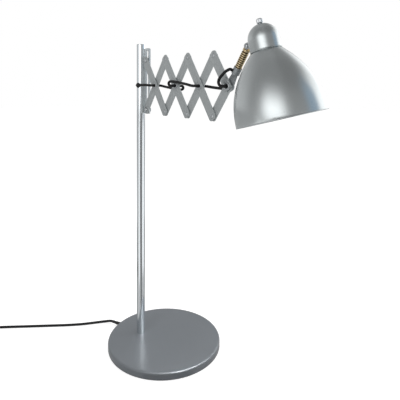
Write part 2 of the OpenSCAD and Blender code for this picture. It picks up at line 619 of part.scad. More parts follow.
// ---------------------------------------------------------------- head fork and stem
collar_floor = 1.5;
stem_from = collar_from + 6.5;
flex_entry_s = collar_from + collar_floor + flex_d / 2 + 0.3;
flex_entry_angle = -118;
module head_fork() color("#8f9496") difference() {
  union() {
    at_arm() flat(tip_x, 0, 90 - stem_lean, tongue_y, tongue_t) {
      circle(r = tongue_r, $fn = round_fn);
      polygon([[0, -tongue_r], [0, tongue_r], [collar_from + 1, 4.4], [collar_from + 1, -4.4]]);
    }
    along_stem() translate([0, 0, collar_from]) cylinder(h = collar_l, d = collar_d, $fn = round_fn);
  }
  at_arm() translate([tip_x, 0, 0]) rotate([-90, 0, 0]) cylinder(h = 20, d = eyelet_hole, $fn = round_fn);
  along_stem() {
    translate([0, 0, collar_from + collar_floor])
      cylinder(h = collar_l, d = stem_d + 2 * seat, $fn = round_fn);
    translate([0, 0, flex_entry_s]) radial(flex_entry_angle)
      cylinder(h = collar_d, d = flex_d + 4 * run, $fn = small_fn);
  }
}

// Ribbed brass tube: plain where the collar holds it, ribs above.
rib_from = collar_from + collar_l + 0.6;
ribs = floor((stem_end - 1 - rib_from) / stem_rib_pitch);
rib_root = stem_rib_d / 2 - 0.6;
module brass_stem() color("#b18f4e") along_stem() rotate_extrude($fn = round_fn) polygon(concat(
  [[stem_bore / 2, stem_from], [stem_d / 2, stem_from], [stem_d / 2, collar_from + collar_l],
   [rib_root, rib_from]],
  [for (i = [0 : ribs - 1]) for (p = [[0, 0.1], [0.6, 0.32], [0.6, 0.68], [0, 0.9]])
    [rib_root + p[0], rib_from + (i + p[1]) * stem_rib_pitch]],
  [[rib_root, stem_end - 0.8], [stem_d / 2, stem_end - 0.6], [stem_d / 2, stem_end],
   [stem_bore / 2, stem_end]]));

// Barrel that turns on the stem, with the eye of the knuckle on top.
barrel_s = stem_end + run;
module stem_swivel() color("#b18f4e") difference() {
  union() {
    along_stem() {
      translate([0, 0, barrel_s]) cylinder(h = barrel_h, d = stem_rib_d, $fn = round_fn);
      translate([0, 0, barrel_s - 6]) cylinder(h = 6.5, d = stem_bore - 2 * run, $fn = round_fn);
    }
    at_knuckle() {
      rotate([-90, 0, 0]) translate([0, 0, -eye_t / 2]) cylinder(h = eye_t, r = eye_r, $fn = small_fn);
      translate([-eye_r + 0.6, -eye_t / 2, -knuckle_rise - 0.1])
        cube([2 * eye_r - 1.2, eye_t, knuckle_rise + 0.1]);
    }
  }
  at_knuckle() rotate([-90, 0, 0]) translate([0, 0, -eye_t])
    cylinder(h = 2 * eye_t, d = knuckle_screw_d + 2 * run, $fn = small_fn);
}

// ---------------------------------------------------------------- knuckle lug on the cap
ear_y = eye_t / 2 + 0.15;
module on_screw() translate([-cap_axis, 0, knuckle_h]) children();
// The cap's own outside, a hair larger, for what seats on it.
module cap_outside(grow) {
  translate([0, 0, cap_from]) cylinder(h = cap_side_h, r = neck_r + grow, $fn = 96);
  translate([0, 0, dome_from]) sphere(r = neck_r + grow, $fn = 96);
}
module cap_lug() color("#9fa4a6") in_shade() difference() {
  on_screw() union() {
    for (s = [-1, 1]) translate([0, s * (ear_y + ear_t / 2), 0]) {
      rotate([90, 0, 0]) translate([0, 0, -ear_t / 2]) cylinder(h = ear_t, r = ear_r, $fn = small_fn);
      translate([0, -ear_t / 2, -ear_r]) cube([lug_gap + 3, ear_t, 2 * ear_r]);
    }
    translate([lug_gap - 0.9, -ear_y - ear_t - 1, -ear_r - 1.5])
      cube([4, 2 * (ear_y + ear_t + 1), 2 * ear_r + 3]);
  }
  cap_outside(seat);
  on_screw() rotate([-90, 0, 0]) translate([0, 0, -10])
    cylinder(h = 20, d = knuckle_screw_d + 2 * run, $fn = small_fn);
}
screw_y = ear_y + ear_t + run;
knuckle_nut_t = 2.4;
module knuckle_screw() color("#c3c7c9") in_shade() on_screw() rotate([-90, 0, 0])
  rotate_extrude($fn = small_fn) polygon([
    [0, -screw_y - 1.8], [1.6, -screw_y - 1.8], [knuckle_screw_d * 0.9, -screw_y - 1.1],
    [knuckle_screw_d * 0.97, -screw_y], [knuckle_screw_d / 2, -screw_y],
    [knuckle_screw_d / 2, screw_y + knuckle_nut_t + 0.5],
    [knuckle_screw_d / 2 - 0.4, screw_y + knuckle_nut_t + 0.8], [0, screw_y + knuckle_nut_t + 0.8]]);
module knuckle_nut() color("#a4a8aa") in_shade() on_screw()
  nut_y_axis(0, 0, screw_y - run, knuckle_nut_t, knuckle_screw_d + 2.5, knuckle_screw_d + 2 * run);

// ---------------------------------------------------------------- shade
bell_steps = 18;
function bell_r(z) = neck_r + (mouth_r - neck_r) * (1 - pow(z / bell_h, bell_power));
function bell_slope(z) = (mouth_r - neck_r) * bell_power / bell_h * pow(z / bell_h, bell_power - 1);
function bell_in_r(z) = bell_r(z) - bell_wall * sqrt(1 + pow(bell_slope(z), 2));
collar_r = neck_r - cap_wall - seat;

module shade_bell() color("#b3b8ba") in_shade() rotate_extrude($fn = 128) union() {
  polygon(concat(
    [for (i = [0 : bell_steps]) let (z = bell_h * i / bell_steps) [bell_r(z), z]],
    [[collar_r, bell_h], [collar_r, bell_h + neck_collar_h],
     [collar_r - bell_wall, bell_h + neck_collar_h], [collar_r - bell_wall, bell_h - 1.5]],
    [for (i = [bell_steps - 1 : -1 : 0]) let (z = (bell_h - 2.4) * i / (bell_steps - 1))
      [bell_in_r(z), z]]));
  translate([mouth_r - 0.7, 1]) circle(r = 1, $fn = 20);
}

bead = 0.35;
module shade_cap() color("#b3b8ba") in_shade() difference() {
  rotate_extrude($fn = 96) polygon(concat(
    [[neck_r - cap_wall, cap_from], [neck_r + bead - 0.2, cap_from], [neck_r + bead, cap_from + 0.3],
     [neck_r + bead, cap_from + 1.2], [neck_r, cap_from + 1.7]],
    arc(0, dome_from, neck_r, 0, 80, 16),
    [[3.4, cap_top - 0.25], [3.4, cap_top + 0.5], [0, cap_top + 0.5], [0, cap_top - cap_wall]],
    arc(0, dome_from, neck_r - cap_wall, 84, 0, 14)));
  translate([0, 0, dome_from]) cylinder(h = 40, d = spindle_d + 2 * run, $fn = small_fn);
}

// ---------------------------------------------------------------- holder, bulb and switch
holder_r = collar_r - bell_wall - 0.2;
holder_top = holder_from + holder_l;
socket_r = bulb_cap_d / 2 + 0.45;
socket_top = holder_top - 2;
module lamp_holder() color("#ece9e2") in_shade() rotate_extrude($fn = 96) polygon([
  [socket_r, holder_from], [holder_r - 0.8, holder_from], [holder_r, holder_from + 1.2],
  [holder_r, holder_top], [13, holder_top + 8], [0, holder_top + 8],
  [0, socket_top], [socket_r - 1, socket_top], [socket_r, socket_top - 2]]);

ring_top = bell_h - 2.5;
ring_r = bell_in_r(ring_top) - 0.3;
module holder_ring() color("#ece9e2") in_shade() difference() {
  translate([0, 0, ring_top - clamp_ring_h]) cylinder(h = clamp_ring_h, r = ring_r, $fn = 96);
  translate([0, 0, ring_top - clamp_ring_h - 1]) cylinder(h = clamp_ring_h + 2, r = holder_r + seat, $fn = 96);
  for (a = [0 : 15 : 345]) rotate([0, 0, a]) translate([ring_r + 0.4, 0, ring_top - clamp_ring_h - 1])
    cylinder(h = clamp_ring_h - 0.5, r = 0.9, $fn = 16);
}

thread_pitch = 3.6;
bulb_cap_from = holder_from - 1.5;
bulb_neck_r = bulb_cap_d / 2 - 2.1;
bulb_seat = 8;
module bulb_cap() color("#b9bcbd") in_shade() rotate_extrude($fn = 64) polygon(concat(
  [[bulb_neck_r + 0.1, bulb_cap_from], [bulb_cap_d / 2 - 0.6, bulb_cap_from]],
  [for (i = [0 : 4]) for (p = [[0.9, 0.2], [0, 0.4], [0, 0.6], [0.9, 0.8]])
    [bulb_cap_d / 2 - p[0], bulb_cap_from + 0.6 + (i + p[1]) * thread_pitch]],
  [[bulb_cap_d / 2 - 3, socket_top - 3.4], [4.5, socket_top - 1.2], [4, socket_top - 0.1],
   [0, socket_top - 0.1], [0, socket_top - 2], [3.4, socket_top - 2.2],
   [bulb_neck_r - 1.5, socket_top - 5.4], [bulb_neck_r + 0.1, socket_top - 7]]));

globe_r = globe_d / 2;
globe_c = bulb_cap_from - 8 - globe_r * 0.92;
glass_t = 0.8;
// Outline of the bulb's glass, drawn in by g from its outside.
function glass_outline(g) = concat(
  [[0, globe_c - globe_r + g]],
  arc(0, globe_c, globe_r - g, -84, 52, 22),
  [[bulb_neck_r + 0.6 - g, globe_c + globe_r * 1.06], [bulb_neck_r - g, bulb_cap_from - 2],
   [bulb_neck_r - g, bulb_cap_from + bulb_seat - g], [0, bulb_cap_from + bulb_seat - g]]);
module bulb_glass() color("#f4f2ec") in_shade() rotate_extrude($fn = 64) difference() {
  polygon(glass_outline(0));
  polygon(glass_outline(glass_t));
}

switch_from = holder_top + 8;
switch_h = min(13, cap_top - cap_wall - switch_from - 6);
module switch_body() color("#2b2c2e") in_shade() translate([0, 0, switch_from])
  rotate_extrude($fn = round_fn) polygon([
    [0, 0], [9, 0], [9, switch_h - 3], [5, switch_h], [0, switch_h]]);

knob_from = cap_top + 0.5 + 2 * run;
module switch_knob() color("#d3d6d8") in_shade() difference() {
  union() {
    translate([0, 0, switch_from + switch_h + run])
      cylinder(h = knob_from - switch_from - switch_h, d = spindle_d, $fn = small_fn);
    translate([0, 0, knob_from]) rotate_extrude($fn = round_fn) polygon([
      [0, 0], [knob_d / 2 - 0.9, 0], [knob_d / 2, 0.9], [knob_d / 2, knob_h - 1.6],
      [knob_d / 2 - 0.5, knob_h - 0.5], [knob_d / 2 - 1.6, knob_h], [0, knob_h]]);
  }
  for (a = [0 : 22.5 : 337.5]) rotate([0, 0, a]) translate([knob_d / 2 + 0.25, 0, knob_from + 1.2])
    cylinder(h = knob_h - 3, r = 0.55, $fn = 16);
}

// ---------------------------------------------------------------- flex along the arm
// Route points are [along the arm, depth from its plane, height from its middle line], taken from
// the eyelet where each length begins or ends. The flex goes through every eyelet.
c1 = crossing_x(1);
c2 = crossing_x(2);
c3 = crossing_x(3);
function at_x(x, pts) = [for (p = pts) [x + p[0], p[1], p[2]]];
exit_dir = [cos(grommet_dir), sin(grommet_dir), 0];
flex_start = pole_r - 0.6;
entry_dir = [cos(flex_entry_angle) * cos(stem_lean), sin(flex_entry_angle),
             -cos(flex_entry_angle) * sin(stem_lean)];
entry_c = [tip_x, stem_y, 0] + flex_entry_s * [sin(stem_lean), 0, cos(stem_lean)];

into_eyelet = [[-7, -8.6, 0.2], [-3, -7.4, 0.1], [-0.5, -4.4, 0], [0, -1.5, 0], [0, 0, 0]];
out_behind = [[0, 0, 0], [0, 1.5, 0], [0.5, 4.4, 0], [3, 7.4, 0], [7, 8.6, -0.3]];

flex_1_route = concat(
  [flex_start * exit_dir, (flex_start + 2) * exit_dir],
  [[5.6, -11.2, 0], [9.2, -13.8, 0], [15, -14.2, 0.2], [24, -12.6, 0.5], [34, -10.6, 0.6]],
  at_x(c1, into_eyelet));
flex_2_route = concat(
  at_x(c1, out_behind), at_x(c1, [[18, 8, -1.6], [30, 7.8, -3], [42, 7.8, -4.4]]),
  at_x(c2, [[-12, 8, -5.6], [-3, 8.2, -6.3], [4, 8.4, -6.4], [8, 8.6, -5], [9, 8.6, -2.8],
            [7, 8.5, -0.7], [3.6, 7.8, 0], [0.6, 4.6, 0], [0, 1.5, 0], [0, 0, 0]]));
flex_3_route = concat(
  at_x(c2, [[0, 0, 0], [0, -1.5, 0], [-0.6, -4.6, 0], [-3.6, -7.8, 0], [-7, -8.5, 0.7],
            [-9, -8.6, 2.9], [-8.2, -8.6, 5.4], [-5, -8.4, 6.8], [2, -8, 6.8],
            [14, -7.8, 5.8], [28, -7.8, 4.2], [42, -8, 2.4]]),
  at_x(c3, [[-14, -8.4, 0.9], [-7, -8.6, 0.2], [-3, -7.4, 0.1], [-0.5, -4.4, 0], [0, -1.5, 0],
            [0, 0, 0]]));
flex_4_route = concat(
  at_x(c3, out_behind), at_x(c3, [[20, 8.4, -1.6], [34, 8.8, -2.7]]),
  at_x(tip_x, [[-22, 10.2, -3.2], [-14, 12.4, -2.8], [-8, 13.8, -2], [-3, 13, -0.9],
               [-0.5, 10.4, -0.1], [0, 7.6, 0], [0, 3.6, 0], [0, 0, 0]]));
flex_5_route = concat(
  at_x(tip_x, [[0, 0, 0], [0, -1.8, 0], [-0.6, -5, 0], [-4, -7.8, 0.2], [-8, -8.6, 1.8],
               [-10, -8.8, 5], [-9.2, -9, 9], [-6, -9.3, 12.6], [-0.5, -9.8, 16.4], [5, -9.6, 20.4]]),
  [entry_c + (collar_d / 2 + 4.4) * entry_dir, entry_c + (collar_d / 2 + 1) * entry_dir,
   entry_c + (collar_d / 2 - 0.6) * entry_dir]);

module flex(route, side, first, last) color("#17181a") at_arm()
  tube(smooth(route, 2), flex_d, 8, side, first = first, last = last);
module flex_1() flex(flex_1_route, [0, 0, 1], exit_dir, [0, 1, 0]);
module flex_2() flex(flex_2_route, [0, 0, 1], [0, 1, 0], [0, -1, 0]);
module flex_3() flex(flex_3_route, [0, 0, 1], [0, -1, 0], [0, 1, 0]);
module flex_4() flex(flex_4_route, [0, 0, 1], [0, 1, 0], [0, -1, 0]);
module flex_5() flex(flex_5_route, [0, 0, 1], [0, -1, 0], -entry_dir);

base_cover();
base_weight();
base_pad();
cord_guard();
mains_cord();
cord_coil();
cord_tie();
plug_body();
plug_pins();
pole_tube();
foot_insert();
foot_stud();
foot_washer();
foot_nut();
pole_plug();
arm_bracket();
pole_grommet();
root_bolt();
root_nut();
flex_1();
arm_a0();
arm_a1();
arm_a2();
arm_a3();
arm_b0();
arm_b1();
arm_b2();
arm_b3();
slot_pin();
slot_roller();
rivet_top_1();
rivet_top_2();
rivet_top_3();
rivet_bottom_1();
rivet_bottom_2();
rivet_bottom_3();
eyelet_1();
eyelet_2();
eyelet_3();
flex_2();
flex_3();
flex_4();
tip_bolt();
tip_nut();
head_fork();
brass_stem();
flex_5();
stem_swivel();
cap_lug();
knuckle_screw();
knuckle_nut();
shade_cap();
shade_bell();
lamp_holder();
holder_ring();
bulb_glass();
bulb_cap();
switch_body();
switch_knob();
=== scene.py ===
import json
import math

import bmesh
import bpy
from mathutils import Matrix, Vector


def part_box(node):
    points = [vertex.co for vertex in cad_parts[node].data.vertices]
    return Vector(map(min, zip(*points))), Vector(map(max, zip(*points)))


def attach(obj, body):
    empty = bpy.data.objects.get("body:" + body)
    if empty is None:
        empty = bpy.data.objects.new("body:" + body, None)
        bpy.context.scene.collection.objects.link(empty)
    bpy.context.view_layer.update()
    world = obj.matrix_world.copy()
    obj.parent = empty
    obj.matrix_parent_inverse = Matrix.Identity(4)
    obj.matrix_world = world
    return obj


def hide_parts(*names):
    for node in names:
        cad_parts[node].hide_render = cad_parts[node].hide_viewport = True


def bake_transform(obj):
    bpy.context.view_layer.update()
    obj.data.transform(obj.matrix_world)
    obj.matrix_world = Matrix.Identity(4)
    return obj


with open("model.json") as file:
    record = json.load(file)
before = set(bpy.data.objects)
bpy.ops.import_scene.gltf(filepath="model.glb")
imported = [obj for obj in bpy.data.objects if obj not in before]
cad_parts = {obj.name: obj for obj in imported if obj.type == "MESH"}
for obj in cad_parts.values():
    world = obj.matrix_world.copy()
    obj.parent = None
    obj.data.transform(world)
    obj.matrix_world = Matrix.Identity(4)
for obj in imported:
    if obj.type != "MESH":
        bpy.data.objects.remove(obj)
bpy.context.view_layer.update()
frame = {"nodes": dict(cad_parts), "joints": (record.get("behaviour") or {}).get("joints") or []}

# ------------------------------------------------------------------ camera
# The camera stands in front of the lamp, on the side that its arm points to, at the arm's height.
# Its lens is shifted down, so it tilts only a little itself and the pole stays nearly upright.
camera_place = Vector((0.664, -0.437, 0.509))
camera_turn = math.radians(52.0)
camera_pitch = math.radians(83.44)
camera_roll = math.radians(0.94)

camera_data = bpy.data.cameras.new("camera")
camera_data.lens = 38.07
camera_data.sensor_width = 36.0
camera_data.shift_y = -0.16
camera_data.clip_end = 60.0
camera = bpy.data.objects.new("camera", camera_data)
camera.matrix_world = (
    Matrix.Translation(camera_place)
    @ Matrix.Rotation(camera_turn, 4, "Z")
    @ Matrix.Rotation(camera_pitch, 4, "X")
    @ Matrix.Rotation(camera_roll, 4, "Z")
)
bpy.context.scene.collection.objects.link(camera)
bpy.context.scene.camera = camera
bpy.context.scene.view_settings.view_transform = "Standard"


# ------------------------------------------------------------------ desk and studio
# A white desk that runs into a white studio. Shiny metal sees a grey room instead, with soft lights
# left of the camera and behind the lamp, which draw upright bands on turned metal.
class Wire:
    """A node's output, which takes part in sums written as Python expressions."""

    def __init__(self, recipe, socket):
        self.recipe = recipe
        self.socket = socket

    def maths(self, operation, first, second):
        return self.recipe.add("ShaderNodeMath", {"operation": operation}, {0: first, 1: second})

    def __add__(self, other):
        return self.maths("ADD", self, other)

    def __radd__(self, other):
        return self.maths("ADD", other, self)

    def __sub__(self, other):
        return self.maths("SUBTRACT", self, other)

    def __rsub__(self, other):
        return self.maths("SUBTRACT", other, self)

    def __mul__(self, other):
        return self.maths("MULTIPLY", self, other)

    def __rmul__(self, other):
        return self.maths("MULTIPLY", other, self)

    def above(self, other):
        return self.maths("MAXIMUM", self, other)


class Recipe:
    """The nodes of one material or of the world."""

    def __init__(self, owner):
        owner.use_nodes = True
        self.tree = owner.node_tree
        self.tree.nodes.clear()

    def add(self, kind, settings=None, sockets=None, output=0):
        made = self.tree.nodes.new(kind)
        for name, value in (settings or {}).items():
            if name == "stops":
                for place, shade in value[2:]:
                    made.color_ramp.elements.new(place)
                for stop, (place, shade) in zip(made.color_ramp.elements, value):
                    stop.position = place
                    stop.color = shade
            else:
                setattr(made, name, value)
        for place, value in (sockets or {}).items():
            if isinstance(value, Wire):
                self.tree.links.new(value.socket, made.inputs[place])
            else:
                made.inputs[place].default_value = value
        return Wire(self, made.outputs[output]) if made.outputs else None

    def vector(self, operation, first, second=None, output="Vector"):
        sockets = {0: first} if second is None else {0: first, 1: second}
        return self.add("ShaderNodeVectorMath", {"operation": operation}, sockets, output)

    def own_place(self):
        return self.add("ShaderNodeTexCoord", output="Object")

    def blend(self, share, first, second):
        return self.add("ShaderNodeMix", {"data_type": "RGBA"}, {0: share, 6: first, 7: second}, 2)

    def ramp(self, value, *stops):
        grey = [(place, (shade, shade, shade, 1)) for place, shade in stops]
        return self.add("ShaderNodeValToRGB", {"stops": grey}, {0: value})

    def noise(self, scale, detail=3.0, place=None, stretch=(1, 1, 1)):
        if place is None:
            place = self.own_place()
        if stretch != (1, 1, 1):
            place = self.vector("MULTIPLY", place, stretch)
        return self.add("ShaderNodeTexNoise", None, {"Vector": place, "Scale": scale, "Detail": detail})

    def close(self, shader, kind="ShaderNodeOutputMaterial"):
        self.add(kind, None, {0: shader})


def tone(red, green, blue):
    """A colour as it shows, from 0 to 255, in the linear values that shaders take."""
    def linear(value):
        share = value / 255
        return share / 12.92 if share <= 0.04045 else ((share + 0.055) / 1.055) ** 2.4
    return (linear(red), linear(green), linear(blue), 1.0)


def piece_of(name, mesh):
    piece = bpy.data.objects.new(name, mesh)
    bpy.context.scene.collection.objects.link(piece)
    return piece


toward_camera = Vector((camera_place.x, camera_place.y, 0)).normalized()


def round_lamp(azimuth):
    """A level direction from the lamp. The azimuth is counted from the camera, to the right."""
    return Matrix.Rotation(math.radians(azimuth), 3, "Z") @ toward_camera


def studio_world():
    """White to the camera, a soft sky to matt surfaces, and a grey room to shiny ones. The room has
    a tall soft light left of the camera (key) and one behind on the right (rim), is lighter behind
    on the left, and has a dim place high on the right over a narrow bluish band."""
    world = bpy.data.worlds.new("studio")
    bpy.context.scene.world = world
    recipe = Recipe(world)
    look = recipe.add("ShaderNodeTexCoord", output="Generated")
    height = recipe.add("ShaderNodeSeparateXYZ", None, {0: look}, "Z") * 0.5 + 0.5
    level = recipe.vector("NORMALIZE", recipe.vector("MULTIPLY", look, (1, 1, 0)))

    def near(azimuth):
        return recipe.vector("DOT_PRODUCT", level, round_lamp(azimuth), "Value")

    room = recipe.ramp(height, (0.0, 0.6), (0.5, 0.49), (0.72, 0.39), (0.87, 0.35), (1.0, 0.33))
    dim = (recipe.ramp(near(62), (0.35, 0.0), (0.75, 0.22))
           * recipe.ramp(height, (0.79, 0.0), (0.89, 1.0)))
    left = (recipe.ramp(near(-145), (0.58, 0.0), (0.9, 0.3))
            * recipe.ramp(height, (0.6, 1.0), (0.88, 0.25)))
    key = (recipe.ramp(near(-31), (0.7, 0.0), (0.84, 0.12), (0.94, 0.7), (0.985, 1.0))
           * recipe.ramp(height, (0.62, 1.0), (0.71, 0.62), (0.8, 0.2), (0.89, 0.0)))
    rim = (recipe.ramp(near(117), (0.77, 0.0), (0.88, 1.0))
           * recipe.ramp(height, (0.66, 1.0), (0.77, 0.7), (0.87, 0.12), (0.92, 0.0)))
    band = (recipe.ramp(near(74), (0.92, 0.0), (0.99, 1.0))
            * recipe.ramp(height, (0.75, 1.0), (0.9, 0.0)))
    shiny = recipe.blend(band, room * (1 - dim) + left + 1.8 * key + 1.5 * rim, (0.42, 0.55, 0.68, 1))
    sky = recipe.ramp(height, (0.0, 0.25), (0.5, 0.3), (1.0, 0.85))
    glossy = recipe.add("ShaderNodeLightPath", output="Is Glossy Ray")
    seen = recipe.add("ShaderNodeLightPath", output="Is Camera Ray").above(
        recipe.add("ShaderNodeLightPath", output="Is Transmission Ray"))
    colour = recipe.blend(seen, recipe.blend(glossy, sky, shiny), (1, 1, 1, 1))
    shader = recipe.add("ShaderNodeBackground", None, {"Color": colour, "Strength": 1.0})
    recipe.close(shader, "ShaderNodeOutputWorld")


def desk_finish():
    material = bpy.data.materials.new("desk")
    recipe = Recipe(material)
    grain = recipe.noise(260.0, 2.0)
    colour = recipe.blend(grain, tone(190, 190, 190), tone(194, 194, 194))
    base = recipe.add("ShaderNodeBsdfDiffuse", None, {"Color": colour})
    camera_ray = recipe.add("ShaderNodeLightPath", output="Is Camera Ray")
    glossy = recipe.add("ShaderNodeLightPath", output="Is Glossy Ray")
    glow = recipe.add("ShaderNodeEmission", None,
                      {"Color": (1, 1, 1, 1), "Strength": camera_ray * desk_lift + glossy * desk_glint})
    recipe.close(recipe.add("ShaderNodeAddShader", None, {0: base, 1: glow}))
    return material


def soft_box(name, azimuth, elevation, distance, size, power, look_at):
    """A soft area light for the matt surfaces. The shiny ones see the studio's own lights."""
    light = bpy.data.lights.new(name, "AREA")
    light.shape = "RECTANGLE"
    light.size, light.size_y = size
    light.energy = power
    holder = bpy.data.objects.new(name, light)
    away = round_lamp(azimuth) * math.cos(math.radians(elevation))
    away.z = math.sin(math.radians(elevation))
    holder.location = look_at + away * distance
    holder.rotation_euler = away.to_track_quat("Z", "Y").to_euler()
    holder.visible_glossy = False
    holder.visible_camera = False
    bpy.context.scene.collection.objects.link(holder)


desk_half = 9.0
desk_lift = 0.7
desk_glint = 0.12
desk_mesh = bpy.data.meshes.new("desk")
desk_mesh.from_pydata([(-desk_half, -desk_half, 0), (desk_half, -desk_half, 0),
                       (desk_half, desk_half, 0), (-desk_half, desk_half, 0)], [], [(0, 1, 2, 3)])
desk = piece_of("desk", desk_mesh)
desk.data.materials.append(desk_finish())
studio_world()

lamp_middle = Vector((0.1, -0.03, 0.35))
# Name, azimuth and elevation in degrees, distance and size in metres, power in watts.
for soft in (("key", -34, 38, 1.9, (0.6, 0.9), 5.4),
             ("side", 100, 30, 1.7, (0.5, 1.2), 2.4),
             ("top", 150, 78, 2.0, (1.4, 1.4), 13.0)):
    soft_box(*soft, lamp_middle)


def studio_cloth(name, shade, azimuths, reach, top):
    """A cloth on the desk and up at its far end, which only shiny surfaces see. Grey ones darken
    what mirrors them and white ones brighten it."""
    cloth = bpy.data.materials.new(name)
    recipe = Recipe(cloth)
    light = shade + 0.03
    colour = recipe.blend(recipe.noise(3.0), (shade, shade, shade, 1), (light, light, light, 1))
    recipe.close(recipe.add("ShaderNodeEmission", None, {"Color": colour}))
    lift = Vector((0, 0, 0.001))
    near_side, far_side = [[round_lamp(azimuth) * distance + lift for azimuth in azimuths]
                           for distance in reach]
    raised = [point + Vector((0, 0, top)) for point in far_side]
    mesh = bpy.data.meshes.new(name)
    mesh.from_pydata(near_side + far_side + raised, [], [(0, 1, 3, 2), (2, 3, 5, 4)])
    piece = piece_of(name, mesh)
    piece.data.materials.append(cloth)
    piece.visible_camera = False
    piece.visible_diffuse = False
    piece.visible_transmission = False
    piece.visible_shadow = False


# Name, brightness, azimuths of its two sides in degrees, distances of its near and far end, and
# the height that the far end is raised to, in metres.
for cloth_row in (("cloth_grey", 0.2, (-22, 30), (0.115, 1.6), 0.44),
                  ("cloth_left", 1.1, (-66, -24), (0.3, 1.8), 0.3),
                  ("cloth_right", 1.2, (38, 96), (0.3, 1.8), 0.3),
                  ("cloth_far_left", 0.3, (-160, -100), (0.13, 0.8), 0.02),
                  ("cloth_far_right", 0.3, (104, 160), (0.13, 0.8), 0.02)):
    studio_cloth(*cloth_row)


def edge_lamp(azimuth, distance, height, size, power):
    """A lamp that hangs over the desk beside the base and faces down. Only shiny surfaces show it:
    it draws the thin bright line on the base's round edge."""
    light = bpy.data.lights.new("edge", "AREA")
    light.shape = "RECTANGLE"
    light.size, light.size_y = size
    light.energy = power
    holder = bpy.data.objects.new("edge", light)
    holder.location = round_lamp(azimuth) * distance + Vector((0, 0, height))
    holder.rotation_euler = (0, 0, camera_turn + math.radians(azimuth))
    holder.visible_diffuse = False
    holder.visible_camera = False
    bpy.context.scene.collection.objects.link(holder)


edge_lamp(azimuth=42, distance=0.26, height=0.28, size=(0.3, 0.12), power=4.2)


# ------------------------------------------------------------------ mains cord
# Round black flex in a soft sheath. It leaves the base through the guard, runs away along the desk
# past the picture's edge and ends in a tied coil of spare length with the plug beside it.
def smooth_route(points, steps):
    """A smooth curve through the points, with so many steps from one to the next."""
    points = [Vector(point) for point in points]
    ends = [2 * points[0] - points[1]] + points + [2 * points[-1] - points[-2]]
    curve = []
    for before, start, end, after in zip(ends, ends[1:], ends[2:], ends[3:]):
        for step in range(steps):
            t = step / steps
            curve.append(0.5 * (2 * start + (end - before) * t
                                + (2 * before - 5 * start + 4 * end - after) * t ** 2
                                + (3 * start - before - 3 * end + after) * t ** 3))
    return curve + [points[-1]]


def skin(name, verts, sides):
    """A closed mesh over rings of points that follow each other, each with so many sides."""
    rings = len(verts) // sides
    faces = []
    for i in range(rings - 1):
        for k in range(sides):
            after = (k + 1) % sides
            faces.append((i * sides + k, i * sides + after,
                          (i + 1) * sides + after, (i + 1) * sides + k))
    faces.append(tuple(range(sides - 1, -1, -1)))
    faces.append(tuple((rings - 1) * sides + k for k in range(sides)))
    mesh = bpy.data.meshes.new(name)
    mesh.from_pydata(verts, [], faces)
    return mesh


def sweep(name, path, radius, sides=16):
    """A round tube along the path, closed at both ends. Its rings turn with the path."""
    verts = []
    side = Vector((0, 0, 1))
    for i, point in enumerate(path):
        along = (path[min(i + 1, len(path) - 1)] - path[max(i - 1, 0)]).normalized()
        side = (side - side.dot(along) * along).normalized()
        other = along.cross(side)
        for k in range(sides):
            turn = math.tau * k / sides
            verts.append(point + radius * (math.cos(turn) * side + math.sin(turn) * other))
    return shaded(piece_of(name, skin(name, verts, sides)), 50)


def shaded(piece, sharp_angle=32):
    """Smooth shading, except over edges sharper than the angle in degrees."""
    piece.data.shade_smooth()
    piece.data.set_sharp_from_angle(angle=math.radians(sharp_angle))
    return piece


def surface(recipe, colour, roughness, metallic=0.0, normal=None, coat=0.0, extra=None):
    """Closes a recipe with one surface shader, whose plain numbers are set on the sockets."""
    sockets = {"Base Color": colour, "Roughness": roughness, "Metallic": metallic,
               "Coat Weight": coat, "Coat Roughness": 0.12}
    if normal is not None:
        sockets["Normal"] = normal
    sockets.update(extra or {})
    recipe.close(recipe.add("ShaderNodeBsdfPrincipled", None, sockets))
    return recipe.material


def new_finish(name):
    material = bpy.data.materials.new(name)
    recipe = Recipe(material)
    recipe.material = material
    return recipe


def relief(recipe, height, depth):
    return recipe.add("ShaderNodeBump", None, {"Strength": 1.0, "Distance": depth, "Height": height})


def mottled(name, colours, patches, fine, rough, depth=0.0, metallic=0.0, coat=0.0, extra=None):
    """A finish whose colour and roughness change in patches, over a fine relief of that depth.
    patches and fine are the scale and detail of the two noises, and rough is the least roughness
    with what the patches add to it."""
    recipe = new_finish(name)
    cloud = recipe.noise(*patches)
    normal = relief(recipe, recipe.noise(*fine), depth) if depth else None
    least, more = rough
    return surface(recipe, recipe.blend(cloud, *colours), least + more * cloud, metallic, normal,
                   coat, extra)


mm = 0.001
cord_radius = 2.5 * mm
cord_route = [
    (-121.51, -51.58, 6.8), (-127, -54, 6.2), (-132.5, -57.5, 4.8), (-138, -63.5, 3.3),
    (-143.5, -73, 2.6), (-149.5, -87, 2.5), (-156.5, -103, 2.5), (-165, -119, 2.5),
    (-175, -136, 2.5), (-186, -153, 2.5), (-199, -173, 2.5), (-212, -193, 2.5),
    (-225, -213, 2.5), (-237.5, -232, 2.5), (-248.5, -249.5, 2.6), (-257.5, -264.5, 3.1),
    (-264.1, -274.67, 3.4)]
coil_middle = Vector((-232, -299, 0)) * mm
coil_turns = 7.33
coil_start = math.radians(150)
coil_radii = (40 * mm, 20 * mm)
coil_low = cord_radius + 0.9 * mm
coil_step = 5.5 * mm
coil_steps = 48


def coil_point(turn):
    """A place along the coil: it spirals in, climbs one layer and spirals out again."""
    half = coil_turns / 2
    outer, inner = coil_radii
    radius = inner + (outer - inner) * abs(turn - half) / half
    climb = max(0.0, min(1.0, (turn - half) * 2 + 0.5))
    angle = coil_start + math.tau * turn
    return coil_middle + Vector((radius * math.cos(angle), radius * math.sin(angle),
                                 coil_low + coil_step * climb))


